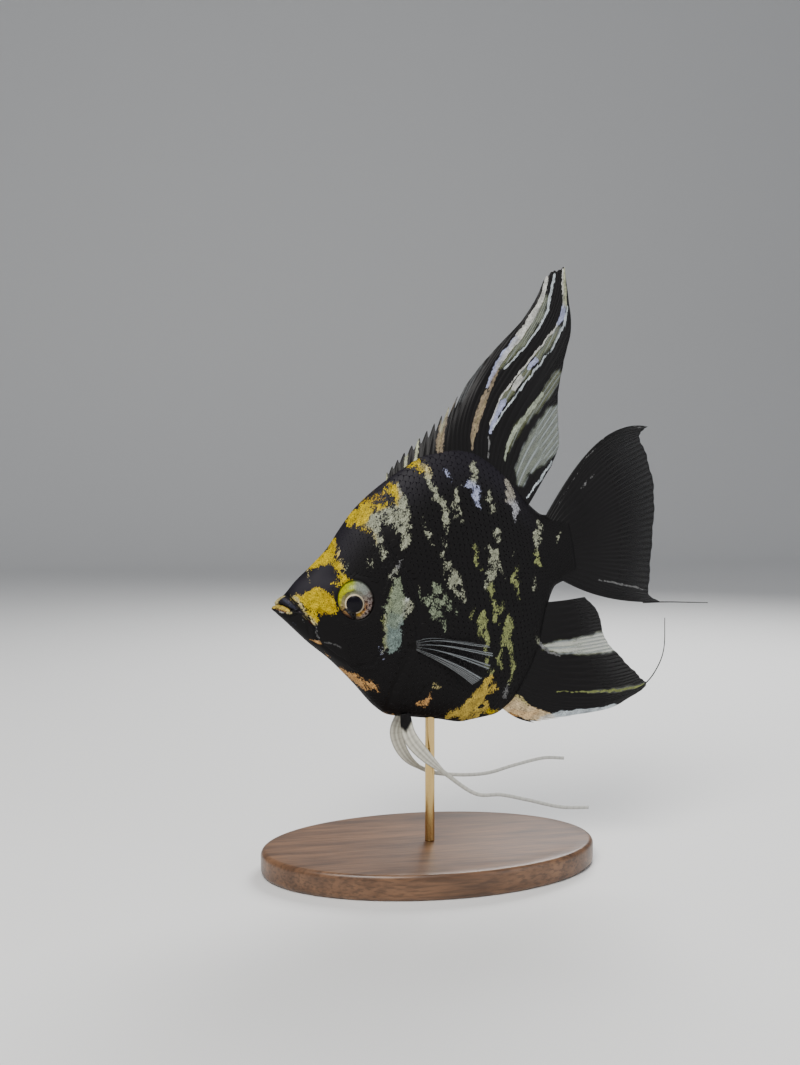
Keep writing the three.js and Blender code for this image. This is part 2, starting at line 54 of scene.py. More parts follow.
# Height of the back, the belly and the fullest line, and half the body's width, as (x, value) stations.
BACK = [
    (-0.9, -0.6), (0.4, 0.7), (2, 1.7), (5.6, 4.7), (9.3, 7.2), (14.3, 10.9), (18, 14.8), (22.7, 19.3),
    (28, 22.8), (36.7, 27.1), (43, 29.4), (49, 29.8), (54, 28.6), (58, 25.6), (63, 19.4), (67, 12.3),
    (70, 9.4), (TAIL_END, 8.6),
]
BELLY = [
    (-0.9, -1.4), (-0.2, -2.5), (0.9, -3.9), (5.8, -10.6), (10.3, -15.9), (15, -22.8), (19, -29.3),
    (22, -32.2), (27, -33.8), (34, -35.9), (41, -38), (48, -38), (53, -36.2), (58, -31.3), (63, -23.9),
    (67, -14), (70.5, -8.8), (TAIL_END, -7.6),
]
HALF_WIDTH = [
    (-0.9, 0.5), (0.4, 1.3), (2, 2.0), (5.6, 3.3), (10, 4.6), (16, 5.9), (22, 6.8), (30, 7.3), (38, 7.0),
    (46, 6.2), (54, 4.9), (62, 3.3), (68, 2.3), (TAIL_END, 1.0),
]
FULLEST = [
    (-0.9, -1), (5, -2.2), (12, -4), (20, -7), (30, -9), (40, -8), (50, -5), (60, -2), (70, 0.2),
    (TAIL_END, 0.5),
]
RIDGE_SHARPNESS = 1.3  # power of the section's rounding towards the back, 1 being an ellipse
BELLY_SHARPNESS = 1.1
COAT = 0.05  # how far the skin lies under the tips of the scales

# The eye's middle, its half length, height and depth, how far it stands out of the flank, and its turn forwards.
EYE = dict(x=18.55, z=-2.1, long=4.5, tall=5.0, depth=3.1, stand=1.9, turn=math.radians(9))
EYE_RADIUS = 4.75
EYE_OVAL = (EYE["long"] / EYE_RADIUS, EYE["tall"] / EYE_RADIUS)  # the ball is taller than it is long

# Lines of the head, as (x, z) stations.
GILL_EDGE = [
    (28, 13), (29, 8.4), (30, 5.6), (32.4, 0), (33.5, -6.1), (32.6, -10.6), (30.4, -14.8), (27, -19.6),
    (23.4, -25), (21.4, -30), (20.6, -34),
]
CHEEK_EDGE = [
    (27.6, 3.6), (25.4, -1), (24.4, -5), (24, -10), (22.8, -15), (20, -18.4), (16, -18.2), (12, -15),
    (9, -11.4),
]
MOUTH = [(-1.4, -0.3), (0.2, -0.05), (1.3, -0.35), (2.6, -1.4), (3.7, -2.1), (4.9, -2.4)]
UPPER_LIP = [(-0.6, 0.4), (1.4, 0.9), (3, -0.3), (4.5, -1.6)]
LOWER_LIP = [(-0.8, -1.0), (0.8, -1.3), (2.7, -2.4)]
MAXILLA = [(3.6, -2.6), (4.8, -2.8), (5.6, -3.6)]
LIP_FOLD = [(1.6, 2.4), (2.9, 1.6), (3.9, 0.1), (5.4, -2.3), (6.6, -5), (7.9, -7.6), (7.9, -10)]
JAW_FOLD = [(3.0, -3.4), (4.6, -3.0), (5.8, -3.6), (6.4, -5.4), (6.2, -8)]
NOSTRIL = (9.2, 1.6)
PECTORAL_BASE = [(30.4, -13.6), (31.6, -15.6), (32.2, -17.2)]

# Key rays of the fins: root, tip, and the ray's direction in degrees as it leaves the root and at its tip.
DORSAL_RAYS = [
    ((31.4, 23.2), (32.5, 26.6), 75, 60),
    ((35.0, 25.0), (36.6, 29.8), 72, 60),
    ((39.2, 26.8), (42.0, 33.4), 68, 60),
    ((43.4, 28.2), (47.4, 37.0), 66, 62),
    ((46.4, 28.7), (53.0, 41.6), 70, 56),
    ((49.4, 28.6), (61.3, 49.2), 80, 48),
    ((52.0, 28.0), (77.3, 61.8), 84, 44),
    ((54.2, 27.2), (81.8, 68.6), 84, 74),
    ((56.6, 25.6), (84.6, 69.6), 84, 78),
    ((58.4, 24.0), (87.0, 70.0), 76, 82),
    ((60.2, 22.0), (86.4, 56.0), 72, 62),
    ((61.8, 19.8), (82.6, 46.0), 68, 42),
    ((63.4, 17.4), (79.4, 36.4), 64, 44),
    ((65.0, 14.8), (78.0, 26.6), 54, 42),
    ((66.4, 12.4), (74.8, 21.0), 46, 42),
]
ANAL_RAYS = [
    ((50.6, -36.0), (58.0, -41.6), -58, -14),
    ((51.8, -35.6), (65.0, -42.0), -52, -6),
    ((53.2, -34.9), (77.4, -42.5), -46, 2),
    ((54.6, -33.8), (84.6, -40.8), -40, 12),
    ((56.2, -32.0), (89.4, -38.4), -36, 16),
    ((58.6, -28.8), (87.2, -35.0), -30, 8),
    ((60.6, -25.8), (83.4, -29.4), -24, 2),
    ((62.6, -22.4), (80.6, -24.0), -14, 0),
    ((64.8, -17.6), (80.4, -18.4), -8, 0),
    ((66.8, -12.6), (77.6, -13.4), -8, -2),
]
TAIL_RAYS = [
    ((70.4, 8.4), (102.4, 26.6), 50, -20),
    ((71.6, 7.4), (99.8, 24.6), 46, 8),
    ((72.8, 5.8), (100.8, 19.4), 34, 16),
    ((73.6, 3.4), (101.2, 12.6), 22, 14),
    ((74.0, 1.0), (100.4, 5.6), 10, 8),
    ((74.0, -1.2), (98.8, -2.4), -3, -3),
    ((73.6, -3.4), (97.0, -10.0), -17, -14),
    ((72.8, -5.6), (95.4, -16.2), -30, -16),
    ((71.4, -7.4), (98.4, -18.9), -40, -10),
]
# The pectoral fin's root, its turn away from the flank, its key rays from the root, and its strands as
# (place across the fin, width).
PECTORAL = dict(root=(30.6, 6.1, -15.6), flare=math.radians(9))
PECTORAL_RAYS = [
    ((0, 1.1), (12.6, -1.4), 12, -14),
    ((0, 0.66), (17.8, -3.4), 2, -14),
    ((0, 0.22), (18.4, -5.6), -8, -20),
    ((0, -0.22), (17.2, -8.6), -18, -30),
    ((0, -0.66), (14.4, -11.2), -30, -44),
    ((0, -1.1), (12.2, -12.0), -38, -52),
]
PECTORAL_STRANDS = [
    (0.03, 0.016), (0.2, 0.013), (0.4, 0.015), (0.6, 0.013), (0.8, 0.016), (0.89, 0.02), (0.97, 0.016),
]
# Paths of the pelvic fins, how broad the blade is, and the share of its length that is black at the root.
PELVIC_ROOT = (26.2, 1.7, -32.6)
PELVIC = {
    "left": dict(broad=0.95, black_root=0.068, path=[
        PELVIC_ROOT, (26.2, 2.6, -38), (29, 3.2, -43.4), (34.2, 3.6, -50), (40, 3.8, -55.6),
        (46.2, 4, -57.2), (52.6, 4, -60), (60.8, 3.8, -63.8), (68.2, 3.4, -65.8),
    ]),
    "right": dict(broad=0.8, black_root=0.0, path=[
        PELVIC_ROOT, (23.8, 2.6, -38), (25.6, 3.2, -44.8), (30.6, 3.8, -49.6), (37.6, 4.2, -52.2),
        (45.4, 4.4, -53.6), (52.6, 4.4, -53.2), (60.6, 4.2, -53), (66.2, 4, -54.2),
    ]),
}
THREADS = {
    "anal_thread": [
        (82.6, -1.5, -39.8), (88.6, -1.8, -38.4), (93, -1.2, -35.2), (96.3, -0.2, -30.6), (98.3, 0.8, -23),
    ],
    "tail_thread": [
        (93, 0.75, -17.9), (98, 1.25, -18.8), (101.5, 1.5, -19.5), (106, 1.8, -20.5), (111.4, 2.2, -21.7),
    ],
}

BASE = dict(length=84.0, width=50.0, height=6.0, bevel=1.4)
ROD = dict(radius=1.2, bottom=6.0, top=39.7)
SIDES = (("left", -1), ("right", 1))

# ---------------------------------------------------------------- colours, linear
BLACK = (0.0048, 0.0043, 0.0045)
# painted sheen: the violet-grey light that the black skin catches on the snout, upper lip, nape and back
PLUM_SHEEN = (0.013, 0.0115, 0.016)
YELLOW = (0.41, 0.29, 0.0)
OCHRE = (0.30, 0.19, 0.0)
CREAM = (0.38, 0.32, 0.14)
BUTTER = (0.44, 0.31, 0.05)
PEACH = (0.48, 0.26, 0.09)
SILVER = (0.24, 0.25, 0.18)
SAGE = (0.165, 0.195, 0.13)
STEEL = (0.125, 0.165, 0.15)
GREEN = (0.20, 0.22, 0.085)
LILAC = (0.27, 0.29, 0.42)
WHITE = (0.42, 0.42, 0.39)
GREY = (0.13, 0.13, 0.13)
OLIVE = (0.16, 0.18, 0.06)
ICE = (0.38, 0.42, 0.44)
SHELL = (0.50, 0.38, 0.22)
SLATE = (0.026, 0.027, 0.042)
MAUVE = (0.09, 0.07, 0.085)
TAN = (0.19, 0.15, 0.10)
STRAW = (0.33, 0.34, 0.23)

# Marks on the flanks: colour, how solid the mark is, and its course as (x, z, half width) stations.
MARKS = [
    # head
    (YELLOW, 1.0, [(4.3, 0.9, 0.4), (6, 0.4, 1.0), (9.2, -0.4, 3.0), (11.4, -1.8, 2.4), (13, -3.6, 0.9)]),
    (YELLOW, 0.95, [(7.6, -3.2, 0.9), (8.3, -5, 0.7), (8.2, -6, 0.25)]),
    (OCHRE, 0.95, [(10.4, 1.7, 0.3), (12, -0.4, 0.7), (12.7, -2.8, 0.9), (13.2, -4.2, 0.3)]),
    (OCHRE, 0.9, [(8.6, -2.6, 0.5), (10, -3.4, 0.6), (11.4, -3.9, 0.4)]),
    (OCHRE, 0.7, [(15.8, 11.4, 0.5), (16.4, 9, 0.5)]),
    (OCHRE, 0.6, [(22.4, 16.6, 0.4), (24.6, 18.2, 0.5)]),
    (OCHRE, 0.6, [(32, 23.4, 0.4), (33.4, 22.6, 0.4)]),
    (OCHRE, 0.5, [(24.6, 20, 0.6), (27.6, 20.8, 1.0), (30.4, 21.2, 0.9)]),
    (YELLOW, 0.45, [(24.4, 14.6, 0.8), (25.6, 12.6, 0.6), (26, 10, 0.3)]),
    (YELLOW, 0.4, [(32.6, 20.6, 0.8), (33, 18.4, 0.5)]),
    (OCHRE, 0.5, [(42.6, -34.6, 0.6), (46.4, -31, 0.5)]),
    (CREAM, 0.9, [(4.2, 1.2, 0.3), (4.8, 0.2, 0.35), (6.2, -2.6, 0.3), (7.7, -5.2, 0.3), (8.2, -6.2, 0.3)]),
    (GREY, 0.9, [(8.2, -6, 0.2), (8.1, -9.8, 0.2)]),
    (YELLOW, 0.92, [(10, 7.3, 0.5), (12.6, 8.8, 1.5), (14.8, 9.6, 1.7), (16.1, 11.6, 0.8), (16.7, 12.6, 0.3)]),
    (YELLOW, 0.78, [(14.8, 8.6, 1.2), (16.1, 6.6, 1.05), (16.2, 4.6, 0.95), (16.9, 3.0, 1.0), (18.2, 2.7, 0.4)]),
    (CREAM, 0.6, [(16.4, 11, 0.7), (16.9, 8, 0.5), (16.8, 4.6, 0.4)]),
    (YELLOW, 0.5, [(14.4, 2.9, 0.6), (15.6, 2.4, 0.9)]),
    (CREAM, 0.7, [(9, 6.4, 0.35), (8.7, 5, 0.18), (9, 3.6, 0.12)]),
    (SILVER, 0.5, [(17.8, 6.2, 0.35), (18.0, 6.4, 0.3)]),
    (PEACH, 0.85, [(12.4, -18.2, 0.3), (14.6, -20.8, 0.9), (17, -22.8, 1.2), (18.9, -23.8, 0.8), (20.3, -24.8, 0.2)]),
    (PEACH, 0.6, [(9, -13.5, 0.2), (10, -15.2, 0.3)]),
    (PEACH, 0.5, [(20.6, -31.3, 0.3), (23, -32.6, 0.5)]),
    # nape
    (YELLOW, 0.97, [(20.9, 16.4, 0.7), (23.2, 17, 1.9), (25.4, 18.8, 1.6), (27, 19.8, 0.7)]),
    (YELLOW, 0.6, [(25.8, 18.4, 1.2), (28.6, 18.8, 1.0), (31, 19.2, 0.6)]),
    (YELLOW, 0.85, [(31.4, 22.4, 0.8), (32.8, 22.2, 1.3), (33.6, 20.8, 1.0)]),
    (YELLOW, 0.7, [(23, 15.4, 0.9), (25, 13.6, 0.7)]),
    (SILVER, 0.8, [(25.2, 14.9, 1.4), (27.8, 16.0, 1.9), (31, 16.4, 2.1), (33.6, 17.2, 1.3)]),
    (LILAC, 0.7, [(34, 22.6, 0.3), (34.2, 20.4, 0.5)]),
    (SILVER, 0.85, [(34, 22.6, 0.5), (34.2, 19.6, 0.9), (34.1, 16.2, 1.0)]),
    (SILVER, 0.85, [(33.8, 16, 1.3), (33.5, 12.6, 1.3), (32.8, 9.4, 1.1), (31.9, 7, 0.5)]),
    (SILVER, 0.6, [(26.2, 13.6, 1.5), (26.6, 10.6, 1.1), (27.2, 8, 0.7), (26.9, 6, 0.25)]),
    (SILVER, 0.5, [(30.6, 14.4, 1.0), (31.6, 12.4, 0.8)]),
    (SILVER, 0.45, [(23.4, 6.4, 0.6), (24, 5.3, 0.4)]),
    (GREY, 0.6, [(30.8, 5.6, 0.2), (29.8, 3.4, 0.3), (28.4, 2.2, 0.5)]),
    # gill cover
    (SAGE, 0.97, [(28.9, 0.8, 0.6), (28.5, -2.4, 1.7), (27.7, -5.4, 2.6), (26.6, -8.4, 1.9)]),
    (STEEL, 0.97, [(27, -8, 1.6), (26, -11.4, 1.9), (25.3, -14.6, 1.8), (24.8, -15.6, 1.0)]),
    (SILVER, 0.95, [(24.6, -7, 0.2), (24.2, -10.4, 0.25), (23.8, -14, 0.3), (22.6, -15.8, 0.2)]),
    (SILVER, 0.85, [(30.2, -5.2, 1.3), (29.6, -7, 0.8)]),
    (ICE, 0.62, [(30.6, -4, 0.3), (29.8, -6.6, 0.3), (28.2, -8.6, 0.3), (27.6, -11, 0.2)]),
    (GREEN, 0.6, [(27.4, -1.4, 0.5), (26.6, -4.2, 0.6), (25.6, -6.4, 0.4)]),
    (GREEN, 0.7, [(24.2, -7.5, 0.5), (24.4, -11, 0.5), (23.6, -14.4, 0.5)]),
    (LILAC, 0.5, [(22.2, -14.9, 0.3), (22.8, -16.4, 0.4)]),
    (SILVER, 0.5, [(28.3, 1.8, 0.8), (29.6, 3.3, 0.4)]),
    # front of the trunk
    (YELLOW, 0.8, [(38.4, 27.4, 0.7), (40.4, 27.6, 0.9), (40.2, 25.6, 0.8)]),
    (CREAM, 0.85, [(41.4, 26.6, 1.0), (42, 24, 0.8)]),
    (SILVER, 0.85, [(41.9, 24.4, 0.9), (41.9, 21.6, 0.6), (42.5, 18.8, 0.6), (43.8, 16.6, 0.7)]),
    (SILVER, 0.62, [(44.2, 16.4, 0.9), (44.4, 14.6, 0.9), (43.9, 12.4, 0.8), (43.1, 10.2, 0.4)]),
    (SILVER, 0.35, [(45.6, 16, 1.2), (46.4, 13.6, 0.9)]),
    (SILVER, 0.5, [(42.5, 8, 0.4), (41.8, 5.6, 0.5), (41.4, 4.4, 0.3)]),
    (LILAC, 0.42, [(46.4, 24.8, 0.35), (46.9, 21.8, 0.4)]),
    (SILVER, 0.5, [(38.3, 14.2, 0.2), (38.2, 11.6, 0.45), (39.1, 9.8, 0.5), (39.5, 8, 0.2)]),
    (SILVER, 0.5, [(49.4, 20.2, 0.25), (48.1, 19, 0.25), (47.5, 17, 0.6), (47.7, 14.4, 0.45), (47.8, 12.2, 0.35)]),
    # rear of the trunk
    (LILAC, 0.9, [(50.6, 20.4, 0.5), (52.4, 20, 1.2), (52.7, 17.6, 1.0), (52.8, 15, 0.5)]),
    (SILVER, 0.8, [(54, 25.2, 0.45), (53.4, 22.6, 0.8), (52.9, 20.6, 0.9)]),
    (SILVER, 0.7, [(56.3, 18.6, 0.2), (56, 16, 0.6), (56.5, 13.6, 0.55), (56.5, 11.8, 0.3)]),
    ((0.23, 0.215, 0.18), 0.97, [(62, 20, 0.3), (61.9, 17, 1.2), (61.7, 14.6, 1.1)]),
    ((0.26, 0.26, 0.28), 0.97, [(61.9, 14, 1.0), (62.3, 12.2, 1.1), (62.1, 9.8, 0.5)]),
    (SILVER, 0.8, [(68.4, 8, 0.4), (67.4, 5.4, 0.95), (66.5, 3, 0.8), (66, 0.6, 0.4)]),
    (GREEN, 0.85, [(66.1, 1.2, 0.5), (65.6, -1.4, 0.55), (66.4, -2.9, 0.3)]),
    (SILVER, 0.6, [(73.3, 4.8, 0.3), (72.6, 3.4, 0.35), (71.8, 1.9, 0.2)]),
    # flank, middle
    (SILVER, 0.54, [(41.8, 2.4, 0.8), (42.9, -1, 1.7), (43.3, -4, 1.6), (44.5, -6.8, 0.7)]),
    (SAGE, 0.58, [
        (34, -3.6, 0.4), (36, -5.6, 1.2), (38, -5.4, 2.0), (37.4, -8.6, 2.0), (38.2, -11.6, 0.6),
        (38.5, -13.4, 0.3),
    ]),
    (SAGE, 0.46, [(38, -2.4, 0.9), (40.6, -8.4, 1.0), (42, -9.6, 0.4)]),
    (SILVER, 0.4, [(33.9, -1.4, 0.2), (34.1, -2.8, 0.2)]),
    (GREEN, 0.6, [(50, 4.8, 0.5), (49.7, 2.6, 0.45), (49.6, 0.8, 0.45), (50.6, -0.4, 0.3)]),
    (SILVER, 0.8, [(53.3, 3.7, 0.7), (54.5, 2.4, 1.1), (53.8, -0.4, 1.0), (52.6, -3, 0.9), (51, -4.8, 0.6)]),
    (GREEN, 0.75, [(52, -5, 0.6), (52.5, -8, 0.5), (52.5, -11, 0.5), (52.2, -13.6, 0.6)]),
    (SILVER, 0.7, [(55.4, 3.6, 0.3), (55.2, 0.4, 0.5), (56, -2, 0.3), (56, -4.3, 0.2)]),
    (SILVER, 0.7, [(56.8, 8.2, 0.5), (56.4, 6.6, 0.6), (56.1, 5.2, 0.3)]),
    (GREEN, 0.75, [(59.3, -2.8, 0.5), (58.8, -5.2, 0.7), (59, -7.2, 0.3), (59.1, -9.6, 0.2)]),
    (SILVER, 0.4, [(59.6, 2, 0.3), (59.4, 0.8, 0.2)]),
    (GREEN, 0.5, [(46.2, -11.2, 0.5), (46.8, -9.8, 0.3)]),
    (GREEN, 0.9, [(49.2, -10.6, 0.2), (48.2, -13.4, 1.1), (48, -15.6, 0.8), (48.7, -18, 0.55), (48.4, -20.6, 0.5)]),
    (GREEN, 0.8, [(48.4, -20.6, 0.5), (48.3, -23.6, 0.5), (48.3, -26.4, 0.9)]),
    (GREEN, 0.45, [(54.2, -10.4, 0.7), (53, -12, 0.6)]),
    (GREEN, 0.9, [
        (55.5, -13.6, 0.5), (55.1, -16, 1.1), (53.8, -19.2, 0.9), (52.2, -21.2, 0.6), (51, -23.4, 0.5),
        (52.1, -25.8, 0.3),
    ]),
    (GREEN, 0.8, [(54.7, -20.2, 0.5), (55, -23, 0.4), (55, -26, 0.5), (54.4, -28.4, 0.5), (53.2, -30.4, 0.5)]),
    (GREY, 0.7, [(53.2, -30.4, 0.4), (52.2, -32.6, 0.5), (51.6, -34.6, 0.4)]),
    (SILVER, 0.5, [(63.8, -9, 0.35), (64.5, -4, 0.1)]),
    (SILVER, 0.6, [(62.2, -20.6, 0.2), (63.6, -22.8, 0.45), (65.2, -23.6, 0.4)]),
    # belly
    (BUTTER, 0.97, [(37.2, -35, 0.9), (40.4, -35.4, 1.5), (43.4, -33.4, 1.9), (46, -30.8, 1.5), (48, -28.4, 0.9)]),
    (BUTTER, 0.8, [(41, -36.6, 1.0), (44.4, -36, 1.4), (46.6, -35, 0.7)]),
    (BUTTER, 0.75, [(47.6, -30.6, 1.0), (49.8, -30.2, 0.5)]),
    (YELLOW, 0.55, [(47, -36.6, 0.8), (49.4, -37.2, 0.5)]),
    (PEACH, 0.7, [(29.6, -30.4, 0.6), (31, -30.8, 0.6), (32.4, -29.4, 0.35), (32.7, -28, 0.25)]),
    (CREAM, 0.5, [(33.6, -26.4, 0.4), (35, -27.2, 0.4)]),
]
# Fine lines and spots of the face, drawn over the broad marks; three strokes on the lips are painted highlights.
FACE_LINES = [
    (BLACK, 1.0, [(3.2, 2.2, 0.2), (3.9, 0.6, 0.34), (4.9, -1.5, 0.3), (6, -3.9, 0.26), (6.9, -5.6, 0.2)]),
    (BLACK, 1.0, [(-0.4, -0.1, 0.08), (0.9, 0.1, 0.12), (2.3, -1, 0.14), (3.4, -1.9, 0.14)]),
    (BLACK, 1.0, [(0.2, -2.5, 0.3), (2.6, -3.2, 0.4)]),
    (CREAM, 1.3, [(-0.8, 0, 0.25), (0.3, 0.5, 0.34), (1.3, 1.15, 0.3), (2.2, 1.6, 0.2)]),
    (BUTTER, 1.3, [(-0.7, -0.6, 0.3), (0.4, -0.55, 0.45), (1.5, -1.15, 0.42), (2.6, -1.9, 0.3)]),
    (CREAM, 1.2, [(-0.8, -0.3, 0.3), (0.2, 0.2, 0.36)]),
    (PEACH, 0.7, [(0.1, -1.2, 0.22), (1.2, -1.75, 0.26), (2, -2.2, 0.2)]),
    (MAUVE, 0.8, [(0.3, -1.5, 0.16), (1.4, -2.0, 0.2)]),
    (WHITE, 0.9, [(0.6, -1.9, 0.22), (1.3, -2.2, 0.16)]),
    (CREAM, 1.2, [(2.2, -2.3, 0.3), (3, -2.5, 0.34)]),
    (SLATE, 1.0, [(1.9, 0.8, 0.35), (3, -0.3, 0.5), (4.1, -1.5, 0.3)]),
    # painted highlight along the top of the upper lip's dark lobe
    (MAUVE, 0.8, [(2.3, 1.15, 0.1), (3, 0.45, 0.14), (3.6, -0.4, 0.1)]),
    # painted highlights on the dark lobe at the maxilla's end, grey then mauve
    (GREY, 0.9, [(3.5, -2.1, 0.12), (4.3, -2.1, 0.13)]),
    (MAUVE, 0.8, [(4.7, -2.3, 0.12), (5.6, -3.1, 0.14)]),
    (CREAM, 1.0, [(4.4, 1.3, 0.28), (5, 0.5, 0.34), (5.3, -0.5, 0.2)]),
    (LILAC, 0.45, [(3.1, -5.1, 0.1), (3.4, -5.7, 0.14)]),
    (GREY, 0.7, [(5.4, -4.6, 0.12), (5.6, -5.3, 0.12)]),
    ((0.09, 0.004, 0.004), 1.0, [(6.7, -5.3, 0.14), (7.3, -6.1, 0.16)]),
    (CREAM, 1.0, [(7.3, -5.3, 0.26), (7.9, -6.3, 0.3)]),
    (PEACH, 1.1, [(6.4, -9.9, 0.12), (7.3, -10.3, 0.24), (8.2, -10.8, 0.36), (8.7, -11.2, 0.15)]),
    (GREY, 0.95, [(8.8, -11, 0.12), (10.6, -11.3, 0.16), (12.1, -12, 0.15), (13.2, -13, 0.12)]),
    (MAUVE, 0.5, [(5, 1.9, 0.3), (6.2, 1.2, 0.3)]),
]
# Marks on the fins, where each is solid colour, and fields where the fin is clear, with their course.
DORSAL_MARKS = [
    (STRAW, 1.0, [(31.9, 24.4, 0.2), (32.4, 26.6, 0.15)]),
    (STRAW, 0.9, [(37.1, 27.2, 0.35), (38, 29.6, 0.3), (39, 32.2, 0.2)]),
    (STRAW, 0.9, [(39.8, 28.2, 0.4), (41, 31, 0.35), (42.2, 34, 0.2)]),
    (TAN, 0.72, [(46.2, 29, 0.8), (46.8, 32, 1.0), (48.2, 35.4, 0.8), (50.4, 38.6, 0.5), (52.6, 41.2, 0.3)]),
    (STRAW, 0.85, [(47.6, 34.4, 0.4), (49.4, 37.6, 0.4), (52.6, 41.4, 0.3)]),
    (CREAM, 0.5, [(46, 30, 0.3), (47.6, 34, 0.4)]),
    (GREY, 0.8, [(52.8, 40.8, 0.14), (55.2, 44.8, 0.14)]),
    (GREY, 0.8, [(55, 42.6, 0.14), (57.6, 47, 0.16), (61.2, 49.2, 0.2), (66, 53, 0.16), (70, 56, 0.14)]),
    (TAN, 0.8, [(54.6, 28.8, 0.3), (55.3, 32, 0.7), (57.4, 36.6, 0.9), (60, 40.6, 0.9)]),
    (CREAM, 0.6, [(54.9, 30, 0.2), (56.6, 35, 0.3), (60, 40, 0.4)]),
    (TAN, 0.7, [(59, 39, 0.7), (62, 43.8, 0.7), (64.4, 47.2, 0.7)]),
    (LILAC, 0.9, [(61, 43.4, 0.4), (63.8, 47.2, 0.6), (67, 50.8, 0.7), (71, 54.2, 0.6)]),
    (WHITE, 1.1, [
        (64.4, 47.6, 0.3), (67, 50.4, 0.6), (71, 53.9, 0.75), (75, 57.8, 0.75), (78.4, 61.6, 0.6), (80.5, 65, 0.45),
        (81.9, 68.4, 0.3),
    ]),
    (ICE, 1.35, [
        (66.2, 47, 0.12), (72.4, 51.4, 0.14), (77.2, 55.8, 0.17), (80.4, 60, 0.25), (82, 64, 0.3),
        (83.8, 68.4, 0.25),
    ]),
    (GREY, 0.8, [(58.2, 26, 0.2), (59.2, 31, 0.25)]),
    (LILAC, 0.92, [(59.8, 32, 0.3), (61.6, 35.4, 0.7), (64, 38.6, 0.9), (65, 39.2, 0.5)]),
    (WHITE, 0.9, [(67.8, 41.8, 0.7), (70, 44, 0.8)]),
    (LILAC, 0.9, [(72.8, 46.2, 0.6), (74.8, 48, 0.7)]),
    (WHITE, 1.35, [
        (60.2, 34, 0.14), (63.4, 39.4, 0.14), (68.4, 44.2, 0.15), (73, 48, 0.15), (78, 52.2, 0.16),
        (82, 55.6, 0.18),
    ]),
    (ICE, 1.35, [
        (60.4, 32.4, 0.13), (65, 37.4, 0.13), (72, 43.6, 0.15), (79.6, 50, 0.16), (84.2, 55.6, 0.2),
        (85.9, 60, 0.2),
    ]),
    (LILAC, 0.95, [(82.4, 55.8, 0.4), (84.4, 58.6, 0.7), (85, 60.4, 0.5)]),
    (STRAW, 0.9, [(85.2, 60.4, 0.6), (86, 65, 0.6), (86.8, 69.8, 0.3)]),
    (WHITE, 0.95, [(84.8, 60, 0.25), (85.4, 65, 0.25), (86.4, 69.8, 0.2)]),
    ((0.27, 0.30, 0.23), 1.0, [
        (62.2, 24.6, 0.2), (63.8, 28.2, 0.5), (66.6, 31.8, 0.6), (71, 35.6, 0.6), (75.4, 39.4, 0.5),
    ]),
    (ICE, 0.9, [(66.4, 14.4, 0.2), (70.4, 17.8, 0.3), (75, 22, 0.3)]),
]
DORSAL_CLEAR = [
    (OLIVE, 0.7, [(65, 47.6, 0.5), (69.4, 50.6, 0.7), (73.6, 54.2, 0.8), (78, 58.8, 0.8), (80.6, 63, 0.5)]),
    (OLIVE, 0.75, [(65, 39.8, 0.9), (66.8, 41.2, 0.9)]),
    (OLIVE, 0.75, [(70.6, 44.2, 0.9), (72.4, 45.8, 0.9)]),
    (OLIVE, 0.75, [(75.6, 48.8, 0.8), (79, 51.6, 0.9), (82.4, 54.8, 0.7)]),
    (OLIVE, 0.6, [(63.4, 26.8, 0.4), (67.4, 32.2, 0.9), (72, 35.6, 1.1), (76.6, 39.2, 1.2), (80.4, 43.4, 1.2)]),
    (SAGE, 0.85, [(65.6, 18.6, 1.2), (66.6, 21.6, 2.0), (70.4, 24.6, 3.6), (74.6, 28, 4.4), (78.4, 31.4, 4.4)]),
    (GREY, 0.3, [(54, 41.2, 0.6), (57.4, 46, 0.8), (60.6, 48.8, 0.7)]),
]
ANAL_MARKS = [
    (SHELL, 0.82, [(51.2, -36.6, 1.0), (54, -36.6, 2.1), (57, -39, 1.8), (60.4, -40.6, 1.4), (63, -41.6, 1.0)]),
    (PEACH, 0.62, [(53.4, -38.4, 1.0), (57.6, -40, 0.8), (60, -39.4, 0.6)]),
    (CREAM, 0.7, [(53.4, -34.2, 0.9), (56, -35.4, 0.9), (57.4, -37.4, 0.6)]),
    (ICE, 1.0, [
        (60.6, -41.6, 0.7), (64, -41.8, 1.1), (68, -42.1, 1.1), (72, -42.4, 0.9), (76, -42.6, 0.75),
        (80, -42.2, 0.5),
    ]),
    (GREY, 0.8, [(62.3, -20.8, 0.3), (64, -23.4, 0.45), (66, -25.6, 0.4), (68, -26.6, 0.3)]),
    (OLIVE, 0.9, [(66, -35.6, 0.1), (74, -37.4, 0.22), (82, -38.5, 0.35), (88.6, -38.5, 0.22)]),
]
ANAL_CLEAR = [
    (OLIVE, 0.85, [(64.4, -23.6, 0.5), (68, -24.5, 1.4), (73, -25.3, 2.0), (79, -25.6, 2.5), (84, -25.8, 2.8)]),
    (OLIVE, 0.5, [(74, -37.4, 0.2), (82, -38.5, 0.35), (88.6, -38.5, 0.25)]),
]
TAIL_MARKS = [
    (GREY, 0.95, [(82, -9.8, 0.12), (88, -12.2, 0.2), (94, -14.6, 0.14)]),
    (GREY, 0.5, [(81, 14.2, 0.3), (85.4, 17, 0.25)]),
    (GREY, 0.5, [(74, 11, 0.1), (84, 21.6, 0.12), (92.4, 27.7, 0.16), (98, 27.4, 0.2), (102.4, 26.5, 0.2)]),
    (SILVER, 0.6, [(73.3, 4.8, 0.3), (72.6, 3.4, 0.35), (71.8, 1.9, 0.2)]),
]


